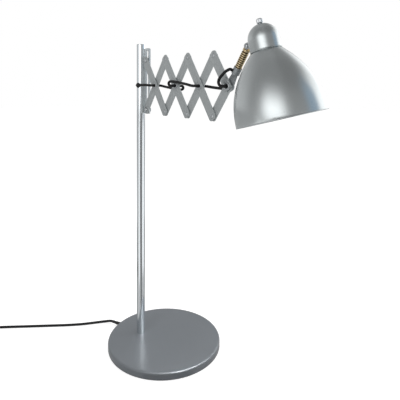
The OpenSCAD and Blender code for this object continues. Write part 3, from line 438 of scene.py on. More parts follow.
coil_count = math.ceil(coil_turns * coil_steps)
coil = [coil_point(i * coil_turns / coil_count) for i in range(coil_count + 1)]
coil_angle = coil_start + math.tau * coil_turns
coil_away = Vector((-math.sin(coil_angle), math.cos(coil_angle), 0))
tail_start = coil[-1] + 2 * cord_radius * coil_away
plug_thick = 13 * mm
plug_ahead = 16 * mm
plug_aside = 0.2 * mm
plug_from = Vector((tail_start.x + plug_ahead, tail_start.y - plug_aside, plug_thick / 2))
tail = [tail_start, tail_start + Vector((5, -0.1, -0.4)) * mm,
        plug_from - Vector((5, 0, -0.4)) * mm, plug_from]
cord_path = (smooth_route([Vector(point) * mm for point in cord_route] + [coil[0]], 5)[:-1]
             + coil + smooth_route(tail, 4))
mains = sweep("mains_lead", cord_path, cord_radius)
black_flex = mottled("black_flex", (tone(14, 14, 15), tone(25, 25, 27)), (90.0, 4.0), (2200.0, 2.0),
                     (0.46, 0.2), 0.00004, extra={"Specular IOR Level": 0.3})
mains.data.materials.append(black_flex)
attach(mains, "base")
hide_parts("mains_cord", "cord_coil")


# ------------------------------------------------------------------ cord guard, strap and plug
# Moulded black parts on the cord: a ribbed guard whose neck sits in the base's rim, a strap round
# the spare turns, and a flat two-pin plug with a ribbed sleeve.
def eased(outline, radius, steps=4, closed=True):
    """The outline with its corners rounded, each by at most a third of the sides beside it."""
    outline = [Vector(point) for point in outline]
    rounded = []
    for i, corner in enumerate(outline):
        before, after = outline[i - 1], outline[(i + 1) % len(outline)]
        if not closed and i in (0, len(outline) - 1):
            rounded.append(corner)
            continue
        reach = min(radius, (before - corner).length / 3, (after - corner).length / 3)
        start = corner + (before - corner).normalized() * reach
        end = corner + (after - corner).normalized() * reach
        for step in range(steps + 1):
            t = step / steps
            rounded.append(start * (1 - t) ** 2 + corner * 2 * t * (1 - t) + end * t ** 2)
    return rounded


def outward(mesh, weld=0.0):
    """Joins points that lie closer than weld, and turns all faces outward."""
    work = bmesh.new()
    work.from_mesh(mesh)
    if weld:
        bmesh.ops.remove_doubles(work, verts=work.verts, dist=weld)
    bmesh.ops.recalc_face_normals(work, faces=work.faces)
    work.to_mesh(mesh)
    work.free()


def lathe(name, profile, place=Matrix.Identity(4), turns=64, closed=True, ripple=None):
    """A turned piece: profile holds (radius, height) points and is turned about the local Z axis.
    A closed profile is a ring; an open one starts and ends on the axis."""
    mesh = bpy.data.meshes.new(name)
    verts, faces, rows = [], [], []
    for radius, height in profile:
        if radius < 1e-7:
            rows.append([len(verts)] * turns)
            verts.append((0, 0, height))
            continue
        rows.append(range(len(verts), len(verts) + turns))
        for k in range(turns):
            angle = math.tau * k / turns
            out = radius + (ripple(angle, radius, height) if ripple else 0)
            verts.append((out * math.cos(angle), out * math.sin(angle), height))
    pairs = list(zip(rows, rows[1:]))
    if closed:
        pairs.append((rows[-1], rows[0]))
    for low, high in pairs:
        for k in range(turns):
            after = (k + 1) % turns
            ring = []
            for index in (low[k], low[after], high[after], high[k]):
                if index not in ring:
                    ring.append(index)
            if len(ring) > 2:
                faces.append(ring)
    mesh.from_pydata(verts, [], faces)
    mesh.transform(place)
    outward(mesh)
    return shaded(piece_of(name, mesh))


def in_mm(points):
    return [(x * mm, y * mm) for x, y in points]


def moulded_finish(name, dark, light, gloss):
    """Moulded plastic or rubber, with the grain of its mould."""
    return mottled(name, (dark, light), (60.0, 4.0), (1500.0, 3.0), (gloss, 0.14), 0.00008)


def fitted(piece, material, body, node):
    """Gives a piece its finish, the body that carries it and the node that it stands for."""
    piece.data.materials.append(material)
    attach(piece, body)
    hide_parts(node)
    return piece


black_plastic = moulded_finish("black_plastic", tone(20, 20, 21), tone(34, 34, 36), 0.4)

base_radius = 110 * mm
cord_azimuth = math.radians(203)
cord_height = 6.8 * mm
guard_place = (Matrix.Rotation(cord_azimuth, 4, "Z") @ Matrix.Translation((base_radius, 0, cord_height))
               @ Matrix.Rotation(math.pi / 2, 4, "Y"))
guard_ribs = [point for i in range(4) for point in
              ((3.9 - 0.28 * i, 3.3 + 4 * i), (3.35 - 0.28 * i, 4 + 4 * i),
               (3.35 - 0.28 * i, 6 + 4 * i), (3.9 - 0.28 * (i + 1), 6.6 + 4 * i))]
guard_profile = in_mm([(0, -3.5), (4.1, -3.5), (4.1, -1.9), (3.45, -1.9), (3.45, 0.5), (4, 0.5)]
                      + guard_ribs + [(2.8, 22), (0, 22)])
guard = lathe("cord_guard_moulding", eased(guard_profile, 0.5 * mm, 3, closed=False), guard_place,
              48, closed=False)
fitted(guard, black_plastic, "base", "cord_guard")


def plate(name, outline, holes, thickness, ease, place):
    """A flat piece with rounded edges: outline and holes are lists of points in its own plane, and
    its thickness is centred on that plane."""
    flat = bpy.data.curves.new(name, "CURVE")
    flat.dimensions = "2D"
    flat.fill_mode = "BOTH"
    flat.extrude = thickness / 2 - ease
    flat.bevel_depth = ease
    flat.bevel_resolution = 2
    flat.offset = -ease
    for loop in [outline] + [list(reversed(hole)) for hole in holes]:
        spline = flat.splines.new("POLY")
        spline.points.add(len(loop) - 1)
        for spot, point in zip(spline.points, loop):
            spot.co = (point[0], point[1], 0, 1)
        spline.use_cyclic_u = True
    source = bpy.data.objects.new(name, flat)
    bpy.context.scene.collection.objects.link(source)
    bpy.context.view_layer.update()
    mesh = bpy.data.meshes.new_from_object(source.evaluated_get(bpy.context.evaluated_depsgraph_get()))
    mesh.materials.clear()
    bpy.data.objects.remove(source)
    outward(mesh, 1e-6)
    piece = piece_of(name, mesh)
    piece.matrix_world = place
    return shaded(piece, 30)


def circle(radius, middle=(0, 0), count=40):
    return [(middle[0] + radius * math.cos(math.tau * k / count),
             middle[1] + radius * math.sin(math.tau * k / count)) for k in range(count)]


def rounded_box(low, high, radius, steps=6):
    """Corner points of a rectangle with round corners, counter-clockwise from lower right."""
    points = []
    for corner, (x, y) in enumerate(((high[0], low[1]), (high[0], high[1]),
                                     (low[0], high[1]), (low[0], low[1]))):
        middle = (x - math.copysign(radius, x - (low[0] + high[0]) / 2),
                  y - math.copysign(radius, y - (low[1] + high[1]) / 2))
        for step in range(steps + 1):
            angle = math.pi / 2 * (corner - 1 + step / steps)
            points.append((middle[0] + radius * math.cos(angle), middle[1] + radius * math.sin(angle)))
    return points


tie_turn = math.radians(35)
tie_wall = 0.8 * mm
tie_slack = 0.5 * mm
tie_low = (coil_radii[1] - cord_radius - tie_slack, 0)
tie_high = (coil_radii[0] + cord_radius + tie_slack,
            coil_low + coil_step + cord_radius + 0.4 * mm - tie_wall)
tie_place = (Matrix.Translation(coil_middle + Vector((0, 0, tie_wall)))
             @ Matrix.Rotation(tie_turn, 4, "Z") @ Matrix.Rotation(math.pi / 2, 4, "X"))
tie = plate("cord_strap",
            rounded_box((tie_low[0] - tie_wall, -tie_wall), (tie_high[0] + tie_wall, tie_high[1] + tie_wall),
                        1.6 * mm),
            [rounded_box(tie_low, tie_high, 0.9 * mm)], 6 * mm, 0.2 * mm, tie_place)
fitted(tie, black_plastic, "base", "cord_tie")

# Sections of the plug from the sleeve to its face: distance along it, width and thickness.
plug_sections = [(12.5, 8.6, 8.6), (14.5, 10, 9.6), (18, 13.2, 11.4), (22, 17, 12.4), (27, 21, 12.9),
                 (32, 24, 13), (40, 24, 13), (46, 24, 13), (46.8, 23.4, 12.4), (47, 22.4, 11.4)]


def lofted_plug(sides=40, fullness=0.62):
    """The plug's body through its sections. Fullness under 1 makes them squarer than an ellipse."""
    verts = []
    for along, wide, thick in plug_sections:
        for k in range(sides):
            turn = math.tau * k / sides
            y = math.copysign(abs(math.cos(turn)) ** fullness, math.cos(turn)) * wide / 2
            z = math.copysign(abs(math.sin(turn)) ** fullness, math.sin(turn)) * thick / 2
            verts.append((along * mm, y * mm, z * mm))
    mesh = skin("plug_moulding", verts, sides)
    mesh.transform(Matrix.Translation(plug_from))
    return shaded(piece_of("plug_moulding", mesh), 40)


sleeve_ribs = [point for i in range(3) for point in
               ((3.4 + 0.35 * i, 1 + 3.6 * i), (2.8 + 0.35 * i, 1.5 + 3.6 * i),
                (2.8 + 0.35 * i, 3 + 3.6 * i), (3.6 + 0.35 * i, 3.5 + 3.6 * i))]
sleeve_profile = in_mm([(0, 0), (2.8, 0)] + sleeve_ribs + [(4.4, 14), (0, 14)])
sleeve = lathe("plug_sleeve", eased(sleeve_profile, 0.5 * mm, 3, closed=False),
               Matrix.Translation(plug_from) @ Matrix.Rotation(math.pi / 2, 4, "Y"), 40, closed=False)
plug = lofted_plug()
for part in (plug, sleeve):
    part.data.materials.append(black_plastic)
    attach(part, "base")
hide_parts("plug_body")


def plated_finish(name, colour, worn, gloss):
    """Bright plated metal with faint drawing lines and duller patches from handling."""
    recipe = new_finish(name)
    cloud = recipe.noise(45.0, 4.0)
    lines = recipe.noise(900.0, 3.0)
    tint = recipe.blend(cloud, colour, worn)
    return surface(recipe, tint, gloss + 0.12 * cloud * lines, 1.0, relief(recipe, lines, 0.00002))


plated_pins = plated_finish("plated_pins", tone(214, 216, 218), tone(188, 190, 193), 0.2)


def dress(node, material, bevel=0.0):
    """Gives a node of the frame its finish, smooth shading and, where asked, broken edges."""
    sharp = math.radians(32)
    piece = frame["nodes"][node]
    piece.data.materials.clear()
    piece.data.materials.append(material)
    custom = piece.data.attributes.get("custom_normal")
    if custom:
        piece.data.attributes.remove(custom)
    piece.data.shade_smooth()
    if bevel:
        weld = piece.modifiers.new("weld", "WELD")
        weld.merge_threshold = 1e-6
        edges = piece.modifiers.new("edges", "BEVEL")
        edges.width = bevel
        edges.segments = 2
        edges.limit_method = "ANGLE"
        edges.angle_limit = sharp
        edges.harden_normals = True
    piece.data.set_sharp_from_angle(angle=sharp)


dress("plug_pins", plated_pins)


# ------------------------------------------------------------------ base
# A spun sheet-steel cover in grey enamel hides a cast weight. The cover has a round top edge and
# stands just clear of the desk on a foam pad.
def enamel_finish():
    recipe = new_finish("grey_enamel")
    flow = recipe.noise(320.0, 2.0)
    cloud = recipe.noise(9.0, 4.0)
    fleck = recipe.noise(2600.0, 2.0)
    colour = recipe.blend(cloud, tone(112, 117, 122), tone(116, 121, 126))
    colour = recipe.blend(recipe.ramp(fleck, (0.58, 0.0), (0.75, 0.2)), colour, tone(140, 145, 150))
    return surface(recipe, colour, 0.42 + 0.04 * cloud, 0.14, relief(recipe, flow, 0.00001),
                   0.16, {"Coat Roughness": 0.2})


def drill(piece, name, place, radius, depth):
    """Cuts a round hole along the place's Z axis, from its origin on."""
    cutter = lathe(name, [(0, 0), (radius, 0), (radius, depth), (0, depth)], place, 48, closed=False)
    cut = piece.modifiers.new("hole", "BOOLEAN")
    cut.operation = "DIFFERENCE"
    cut.solver = "EXACT"
    cut.object = cutter
    bpy.context.view_layer.update()
    mesh = bpy.data.meshes.new_from_object(piece.evaluated_get(bpy.context.evaluated_depsgraph_get()))
    piece.modifiers.clear()
    piece.data = mesh
    bpy.data.objects.remove(cutter)
    return shaded(piece)


def arc(middle_r, middle_h, radius, start, end, steps):
    """Points of an arc in a turned profile, from one angle to another in degrees."""
    return [(middle_r + radius * math.cos(math.radians(start + (end - start) * i / steps)),
             middle_h + radius * math.sin(math.radians(start + (end - start) * i / steps)))
            for i in range(steps + 1)]


joints = {joint["name"]: joint for joint in frame["joints"]}


def pivot(name):
    return Vector(joints[name]["pos_m"])


pole_axis = pivot("pole_swivel")
base_top = 14.5 * mm
edge_radius = 3.5 * mm
sheet = 1.5 * mm
inner_edge = edge_radius - sheet
hem_height = 1.3 * mm
hem_low = 1.0 * mm
stud_hole = 5.05 * mm
cord_hole = 3.5 * mm
cover_profile = (
    [(r, base_top) for r in (0, 0.02, 0.04, 0.06, 0.08, 0.095)]
    + arc(base_radius - edge_radius, base_top - edge_radius, edge_radius, 90, 0, 14)
    + [(base_radius, hem_height)]
    + arc(base_radius - sheet / 2, hem_height, sheet / 2, 0, -180, 6)
    + arc(base_radius - edge_radius, base_top - edge_radius, inner_edge, 0, 90, 8)
    + [(0, base_top - sheet)])
cover_profile = [(r, max(h, hem_low)) for r, h in cover_profile]
cover = lathe("base_shell", cover_profile, turns=192, closed=False)
drill(cover, "stud_hole", Matrix.Translation((pole_axis.x, pole_axis.y, 0)), stud_hole, 30 * mm)
drill(cover, "cord_hole", guard_place @ Matrix.Translation((0, 0, -4 * mm)), cord_hole, 8 * mm)
fitted(cover, enamel_finish(), "base", "base_cover")


def cast_finish():
    recipe = new_finish("cast_iron")
    sand = recipe.noise(700.0, 5.0)
    rust = recipe.noise(40.0, 4.0)
    rusty = recipe.ramp(rust, (0.55, 0.0), (0.8, 0.6))
    colour = recipe.blend(rusty, tone(58, 60, 62), tone(92, 66, 50))
    return surface(recipe, colour, 0.6 + 0.2 * sand, 0.4, relief(recipe, sand, 0.0003))


dress("base_weight", cast_finish())
dress("base_pad", moulded_finish("foam_rubber", tone(26, 26, 27), tone(40, 40, 42), 0.78))


# ------------------------------------------------------------------ pole
# Steel tube of 16 mm, satin chrome plated, held down through the base by a hollow stud. A turned
# plug closes its top and a rubber grommet lets the flex out at the arm's height.
def tube_finish():
    recipe = new_finish("polished_tube")
    lines = recipe.noise(700.0, 3.0, stretch=(1, 1, 0.02))
    cloud = recipe.noise(24.0, 4.0)
    colour = recipe.blend(cloud, tone(226, 231, 234), tone(216, 221, 225))
    return surface(recipe, colour, 0.14 + 0.08 * cloud * lines, 1.0,
                   relief(recipe, lines, 0.000002))


polished_tube = tube_finish()
pole_radius = 8 * mm
pole_bore = 6.8 * mm
plug_rim = 1.2 * mm
pole_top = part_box("pole_plug")[1].z
arm_height = pivot("tip_level").z
grommet_turn = math.radians(-68)
flex_radius = 2.2 * mm
grommet_hole = 4.0 * mm
pole_levels = ([base_top + 0.04 * i for i in range(12)]
               + [arm_height - 0.008, arm_height + 0.008, pole_top - 0.03, pole_top - plug_rim])
pole_profile = ([(pole_bore, z) for z in reversed(pole_levels)]
                + [(pole_radius, z) for z in pole_levels])
at_pole = Matrix.Translation((pole_axis.x, pole_axis.y, 0))
pole = lathe("pole_shaft", pole_profile, at_pole, 96)
at_grommet = (at_pole @ Matrix.Translation((0, 0, arm_height))
              @ Matrix.Rotation(grommet_turn, 4, "Z") @ Matrix.Rotation(math.pi / 2, 4, "Y"))
drill(pole, "grommet_hole", at_grommet, grommet_hole, 16 * mm)
fitted(pole, polished_tube, "pole", "pole_tube")

plug_profile = [(0, pole_top - 11.2 * mm), (6.2 * mm, pole_top - 11.2 * mm),
                (6.75 * mm, pole_top - 10.2 * mm),
                (6.75 * mm, pole_top - plug_rim), (pole_radius, pole_top - plug_rim),
                (pole_radius, pole_top - 0.45 * mm), (pole_radius - 0.5 * mm, pole_top), (0, pole_top)]
pole_cap = lathe("pole_end_plug", eased(plug_profile, 0.35 * mm, 3, closed=False), at_pole, 96,
                 closed=False)
fitted(pole_cap, polished_tube, "pole", "pole_plug")

zinc_steel = plated_finish("zinc_steel", tone(172, 176, 179), tone(146, 150, 154), 0.32)
black_rubber = moulded_finish("black_rubber", tone(22, 22, 23), tone(36, 36, 38), 0.62)
dress("foot_insert", zinc_steel)
dress("foot_washer", zinc_steel, 0.2 * mm)
dress("pole_grommet", black_rubber, 0.25 * mm)


def brass_finish(name, ribs=None):
    """Polished brass. On a tube with ribs, given as the radii of groove and crest round the piece's
    own Z axis, it is duller and browner in the grooves: tarnish where no cloth reaches, and painted shade in
    the recesses."""
    recipe = new_finish(name)
    cloud = recipe.noise(110.0, 4.0)
    lines = recipe.noise(900.0, 2.0)
    colour = recipe.blend(cloud, tone(226, 208, 172), tone(192, 172, 132))
    rough = 0.2 + 0.2 * cloud
    if ribs:
        root, crest = ribs
        across = recipe.vector("MULTIPLY", recipe.own_place(), (1, 1, 0))
        radius = recipe.vector("LENGTH", across, output="Value")
        depth = (radius - root) * (1 / (crest - root))
        # The grooves darken by their depth: tarnish, and painted shade in the recesses between the ribs.
        groove_tarnish_and_shade = recipe.ramp(depth, (0.35, 1.0), (0.8, 0.0))
        colour = recipe.blend(groove_tarnish_and_shade, colour, tone(82, 66, 44))
        rough = rough + 0.25 * groove_tarnish_and_shade
    return surface(recipe, colour, rough, 1.0, relief(recipe, lines, 0.00002))


brass = brass_finish("brass")
dress("foot_stud", brass)


def hex_nut(name, place, flats, height, bore, body, node):
    """A hexagonal nut with its corners turned off on both faces and a countersunk bore. flats is
    the distance from its axis to a flat."""
    turned = flats * 0.97
    sink = 0.15 * mm
    sink_deep = 0.2 * mm
    around = 72
    rows = []
    for level, kind in ((0, "bore"), (0, "face"), (0, "corner"),
                        (1, "corner"), (1, "face"), (1, "bore")):
        row = []
        for k in range(around):
            angle = math.tau * k / around
            off = (math.degrees(angle) + 30) % 60 - 30
            hexagon = flats / math.cos(math.radians(off))
            drop = max(hexagon - turned, 0) * math.tan(math.radians(30)) if kind == "corner" else 0
            radius = {"bore": bore + sink, "face": min(hexagon, turned), "corner": hexagon}[kind]
            z = drop if level == 0 else height - drop
            row.append((radius * math.cos(angle), radius * math.sin(angle), z))
        rows.append(row)
    rows.append([(x * bore / (bore + sink), y * bore / (bore + sink), height - sink_deep)
                 for x, y, z in rows[-1]])
    rows.append([(x, y, sink_deep) for x, y, z in rows[-1]])
    verts = [point for row in rows for point in row]
    faces = []
    for i in range(len(rows)):
        for k in range(around):
            after = (k + 1) % around
            nxt = (i + 1) % len(rows)
            faces.append((i * around + k, i * around + after,
                          nxt * around + after, nxt * around + k))
    mesh = bpy.data.meshes.new(name)
    mesh.from_pydata(verts, [], faces)
    mesh.transform(place)
    outward(mesh, 1e-7)
    fitted(shaded(piece_of(name, mesh), 20), zinc_steel, body, node)


nut_low, nut_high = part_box("foot_nut")
hex_nut("foot_hex_nut", Matrix.Translation((pole_axis.x, pole_axis.y, nut_low.z)), 8.5 * mm,
        nut_high.z - nut_low.z, 5 * mm, "pole", "foot_nut")


# ------------------------------------------------------------------ arm bracket
# Slotted steel plate welded to a saddle that clasps the pole. The first back bar turns on its lower
# bolt, and the pin of the first front bar slides up and down its slot.
def strip_finish(name, dark, light, lean=0.0):
    """Satin plated strip with a few handling marks, and with fine lines along its own X axis or at
    the angle that it leans in the arm's plane."""
    recipe = new_finish(name)
    place = recipe.own_place()
    if lean:
        place = recipe.add("ShaderNodeMapping", None, {"Vector": place, "Rotation": (0, lean, 0)})
    lines = recipe.noise(1400.0, 3.0, place, (0.03, 1, 1))
    cloud = recipe.noise(38.0, 4.0)
    scuff = recipe.ramp(recipe.noise(140.0, 5.0), (0.56, 0.0), (0.72, 1.0))
    colour = recipe.blend(cloud, dark, light)
    colour = recipe.blend(scuff * 0.16, colour, tone(204, 208, 209))
    rough = 0.38 + 0.14 * lines + 0.08 * scuff
    return surface(recipe, colour, rough, 0.6, relief(recipe, lines, 0.00003))


# Painted light: a lighter copy of the bar steel, which brightens the bracket's saddle where it lies in shade
# between pole and plate.
bracket_steel_painted_light = strip_finish("bar_steel_bracket", tone(198, 204, 206), tone(212, 217, 219),
                             math.pi / 2)
dress("arm_bracket", bracket_steel_painted_light, 0.3 * mm)


rivet_nickel = mottled("rivet_nickel", (tone(196, 200, 202), tone(168, 172, 175)), (240.0, 3.0),
                       (1500.0, 2.0), (0.24, 0.16), 0.00002, metallic=1.0)


def along_y(middle):
    """Stands a turned piece's axis along +Y, with its zero height in the arm's middle plane."""
    return Matrix.Translation(middle) @ Matrix.Rotation(-math.pi / 2, 4, "X")


def fastener(name, profile, middle, body, node, ease=0.35, closed=False):
    """A turned fastener across the arm. The profile's heights count from the arm's middle plane."""
    piece = lathe(name, eased(in_mm(profile), ease * mm, 4, closed=closed), along_y(middle), 48,
                  closed=closed)
    fitted(piece, rivet_nickel, body, node)


# Distance from the arm's middle plane to the far side of the bracket's plate, in mm.
plate_far = 4.95
fastener("root_pivot_bolt",
         [(0, -2.8), (1.8, -2.75), (3.4, -2.1), (4.3, -1.0), (4.5, 0.1), (2.5, 0.1),
          (2.5, 9.35), (2.0, 9.85), (0, 9.85)], pivot("fold"), "pole", "root_bolt")
hex_nut("root_hex_nut", along_y(pivot("fold") + Vector((0, plate_far * mm, 0))), 4 * mm, 4 * mm,
        2.55 * mm, "pole", "root_nut")


# ------------------------------------------------------------------ bars of the accordion
# Eight pressed strips of satin plated steel, in two layers. Each full bar has a pivot hole at both
# ends and a wide hole for an eyelet at its middle, and the last two are half bars.
bar_length = (pivot("back_bar_3_pivot") - pivot("front_bar_3_pivot")).length
full_length = 2 * bar_length
rise = math.atan2(pivot("front_bar_3_pivot").z - arm_height,
                  pivot("tip_level").x - pivot("front_bar_3_pivot").x)
bar_width = 16 * mm
bar_end = 6 * mm
bar_thick = 1.5 * mm
bar_corner = 5 * mm
bar_ease = 0.22 * mm
bar_layer = 0.9 * mm
root_hole = 2.55 * mm
rivet_hole = 2.05 * mm
eyelet_hole = 4.05 * mm
cell = 2 * (pivot("tip_level").x - pivot("front_bar_3_pivot").x)
first_x = pivot("fold").x
half_height = arm_height - pivot("fold").z


def bar(name, start, lean, side, length, holes, body, node):
    """A bar that starts at its first pivot and leans down or up in the arm's plane."""
    place = (Matrix.Translation(start + Vector((0, side * bar_layer, 0)))
             @ Matrix.Rotation(-lean, 4, "Y") @ Matrix.Rotation(math.pi / 2, 4, "X"))
    outline = rounded_box((-bar_end, -bar_width / 2), (length + bar_end, bar_width / 2), bar_corner, 8)
    piece = plate(name, outline, [circle(r, (x, 0)) for x, r in holes], bar_thick, bar_ease, place)
    fitted(piece, bar_steel, body, node)


bar_steel = strip_finish("bar_steel", tone(168, 173, 174), tone(188, 193, 194))
for i in range(4):
    length = full_length if i < 3 else bar_length
    for layer, side, letter in (("front", -1, "a"), ("back", 1, "b")):
        start = Vector((first_x + i * cell, pole_axis.y, arm_height - side * half_height))
        holes = [(0, root_hole if i == 0 else rivet_hole), (bar_length, eyelet_hole)]
        if i < 3:
            holes.append((full_length, rivet_hole))
        bar("%s_strip_%d" % (layer, i), start, side * rise, side, length, holes,
            "%s_bar_%d" % (layer, i), "arm_%s%d" % (letter, i))


# ------------------------------------------------------------------ rivets and eyelets
# Round-head steel rivets close the upper and lower pivots. The crossings turn on hollow eyelets
# with rolled rims, whose bore takes the flex.
rivet_profile = [(0, -2.8), (1.0, -2.75), (2.2, -2.4), (3.05, -1.95), (3.25, -1.7), (2.0, -1.7),
                 (2.0, 1.7), (3.25, 1.7), (3.05, 1.95), (2.2, 2.4), (1.0, 2.75), (0, 2.8)]
eyelet_profile = [(3.2, -2.1), (3.5, -2.4), (4.3, -2.4), (5.2, -2.25), (5.5, -1.8), (5.4, -1.7),
                  (4.0, -1.7), (4.0, 1.7), (5.4, 1.7), (5.5, 1.8), (5.2, 2.25), (4.3, 2.4),
                  (3.5, 2.4), (3.2, 2.1)]
for i in (1, 2, 3):
    column = first_x + i * cell
    upper = Vector((column, pole_axis.y, arm_height + half_height))
    lower = Vector((column, pole_axis.y, arm_height - half_height))
    crossing = Vector((column - cell / 2, pole_axis.y, arm_height))
    fastener("upper_rivet_%d" % i, rivet_profile, upper, "back_bar_%d" % (i - 1),
             "rivet_top_%d" % i, 0.2)
    fastener("lower_rivet_%d" % i, rivet_profile, lower, "front_bar_%d" % (i - 1),
             "rivet_bottom_%d" % i, 0.2)
    fastener("crossing_eyelet_%d" % i, eyelet_profile, crossing, "back_bar_%d" % (i - 1),
             "eyelet_%d" % i, 0.25, closed=True)


# ------------------------------------------------------------------ sliding pin and roller
# A stepped steel pin through the first front bar's top. Its nylon roller runs in the bracket's slot
# between a collar in front and a wide tail behind.
slot_top = Vector((first_x, pole_axis.y, arm_height + half_height))
fastener("slot_slide_pin",
         [(0, -3.3), (2.4, -3.25), (3.7, -2.6), (4.25, -1.7), (2.5, -1.7), (2.5, -0.1), (5, -0.1),
          (5, 1.9), (2.5, 1.9), (2.5, 5.0), (5.25, 5.0), (4.85, 6.25), (0, 6.25)],
         slot_top, "front_bar_0", "slot_pin", 0.25)
roller = lathe("slot_nylon_roller",
               eased(in_mm([(2.55, 2.0), (3.9, 2.0), (3.9, 4.9), (2.55, 4.9)]), 0.3 * mm),
               along_y(slot_top), 48)
nylon = moulded_finish("nylon", tone(222, 218, 206), tone(232, 229, 219), 0.4)
fitted(roller, nylon, "front_bar_0", "slot_roller")


# ------------------------------------------------------------------ tip pivot
# A hollow bolt through the last two half bars and the head's fork, with a wide rim in front and a
# nut behind. The flex goes through it.
tip = pivot("tip_level")
fastener("tip_hollow_bolt",
         [(3.2, -2.7), (3.6, -3.0), (5.5, -3.0), (6.0, -2.6), (6.0, -1.7), (4.0, -1.7), (4.0, 7.8),
          (3.2, 7.8)], tip, "tip", "tip_bolt", 0.25, closed=True)
hex_nut("tip_hex_nut", along_y(tip + Vector((0, 4.5 * mm, 0))), 6.5 * mm, 3 * mm, 4.05 * mm,
        "tip", "tip_nut")


# ------------------------------------------------------------------ flex along the arm
# Round black flex in five lengths. It comes out of the pole's grommet, goes through each eyelet to
# the other side of the bars, then through the hollow tip bolt, and loops up into the fork's collar.
arm_middle = Vector((pole_axis.x, pole_axis.y, arm_height))
c1, c2, c3 = [(pivot(name).x - pole_axis.x) / mm for name in
              ("front_bar_0_pivot", "back_bar_1_pivot", "back_bar_2_pivot")]
tip_x = (tip.x - pole_axis.x) / mm
stem_axis = Vector(joints["head_swivel"]["axis"])
stem_across = Vector((0, 1, 0)).cross(stem_axis)
stem_foot = (pivot("head_swivel") - arm_middle) / mm
exit_dir = Vector((math.cos(grommet_turn), math.sin(grommet_turn), 0))
entry_turn = math.radians(-118)
entry_dir = math.cos(entry_turn) * stem_across + math.sin(entry_turn) * Vector((0, 1, 0))
entry_middle = stem_foot + 25.5 * stem_axis
into_eyelet = [(-7, -8.6, 0.2), (-3, -7.4, 0.1), (-0.5, -4.4, 0), (0, -1.5, 0), (0, 0, 0)]
out_behind = [(0, 0, 0), (0, 1.5, 0), (0.5, 4.4, 0), (3, 7.4, 0), (7, 8.6, -0.3)]


def from_x(x, points):
    return [Vector((x + point[0], point[1], point[2])) for point in points]


flex_routes = {
    1: [7.4 * exit_dir, 9.4 * exit_dir]
       + from_x(0, [(5.6, -11.2, 0), (9.2, -13.8, 0), (15, -14.2, 0.2), (24, -12.6, 0.5),
                    (34, -10.6, 0.6)])
       + from_x(c1, into_eyelet),
    2: from_x(c1, out_behind) + from_x(c1, [(18, 8, -1.6), (30, 7.8, -3), (42, 7.8, -4.4)])
       + from_x(c2, [(-12, 8, -5.6), (-3, 8.2, -6.3), (4, 8.4, -6.4), (8, 8.6, -5), (9, 8.6, -2.8),
                     (7, 8.5, -0.7), (3.6, 7.8, 0), (0.6, 4.6, 0), (0, 1.5, 0), (0, 0, 0)]),
    3: from_x(c2, [(0, 0, 0), (0, -1.5, 0), (-0.6, -4.6, 0), (-3.6, -7.8, 0), (-7, -8.5, 0.7),
                   (-9, -8.6, 2.9), (-8.2, -8.6, 5.4), (-5, -8.4, 6.8), (2, -8, 6.8),
                   (14, -7.8, 5.8), (28, -7.8, 4.2), (42, -8, 2.4)])
       + from_x(c3, [(-14, -8.4, 0.9), (-7, -8.6, 0.2), (-3, -7.4, 0.1), (-0.5, -4.4, 0), (0, -1.5, 0),
                     (0, 0, 0)]),
    4: from_x(c3, out_behind) + from_x(c3, [(20, 8.4, -1.6), (34, 8.8, -2.7)])
       + from_x(tip_x, [(-22, 10.2, -3.2), (-14, 12.4, -2.8), (-8, 13.8, -2), (-3, 13, -0.9),
                        (-0.5, 10.4, -0.1), (0, 7.6, 0), (0, 3.6, 0), (0, 0, 0)]),
    5: from_x(tip_x, [(0, 0, 0), (0, -1.8, 0), (-0.6, -5, 0), (-4, -7.8, 0.2), (-8, -8.6, 1.8),
                      (-10, -8.8, 5), (-9.2, -9, 9), (-6, -9.3, 12.6), (-0.5, -9.8, 16.4),
                      (5, -9.6, 20.4)])
       + [entry_middle + out * entry_dir for out in (10.4, 7, 5.4)],
}


def on_arm(x, z=0):
    """A place in the arm's middle plane, in mm from the pole's axis at the arm's height."""
    return arm_middle + Vector((x, 0, z)) * mm


# Each length: the bodies at its two ends, and a first and a second place along it. The loop below unpacks
# them and uses none of them.
flex_ends = {1: ("pole", "back_bar_0", on_arm(9), on_arm(c1 - 4)),
             2: ("back_bar_0", "front_bar_1", on_arm(c1 + 5), on_arm(c2 - 6)),
             3: ("back_bar_1", "front_bar_2", on_arm(c2 + 6), on_arm(c3 - 6)),
             4: ("back_bar_2", "front_bar_3", on_arm(c3 + 6), on_arm(tip_x - 6)),
             5: ("front_bar_3", "fork", on_arm(tip_x, 4), on_arm(tip_x, 4) + 14 * mm * stem_axis)}
for number, route in flex_routes.items():
    path = [arm_middle + point * mm for point in smooth_route(route, 6)]
    flex = sweep("arm_flex_%d" % number, path, flex_radius)
    flex.data.materials.append(black_flex)
    before, after, start, end = flex_ends[number]
    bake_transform(flex)
    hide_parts("flex_%d" % number)


# ------------------------------------------------------------------ fork and brass stem
# A forged steel tongue and collar that tilt at the tip bolt. The collar holds a brass tube turned
# with close ribs, and a barrel that turns on top of it carries the knuckle's eye.
def axes_at(origin, x, y, z):
    """The place of a piece whose own axes point along x, y and z."""
    return Matrix.Translation(origin) @ Matrix((x, y, z)).transposed().to_4x4()


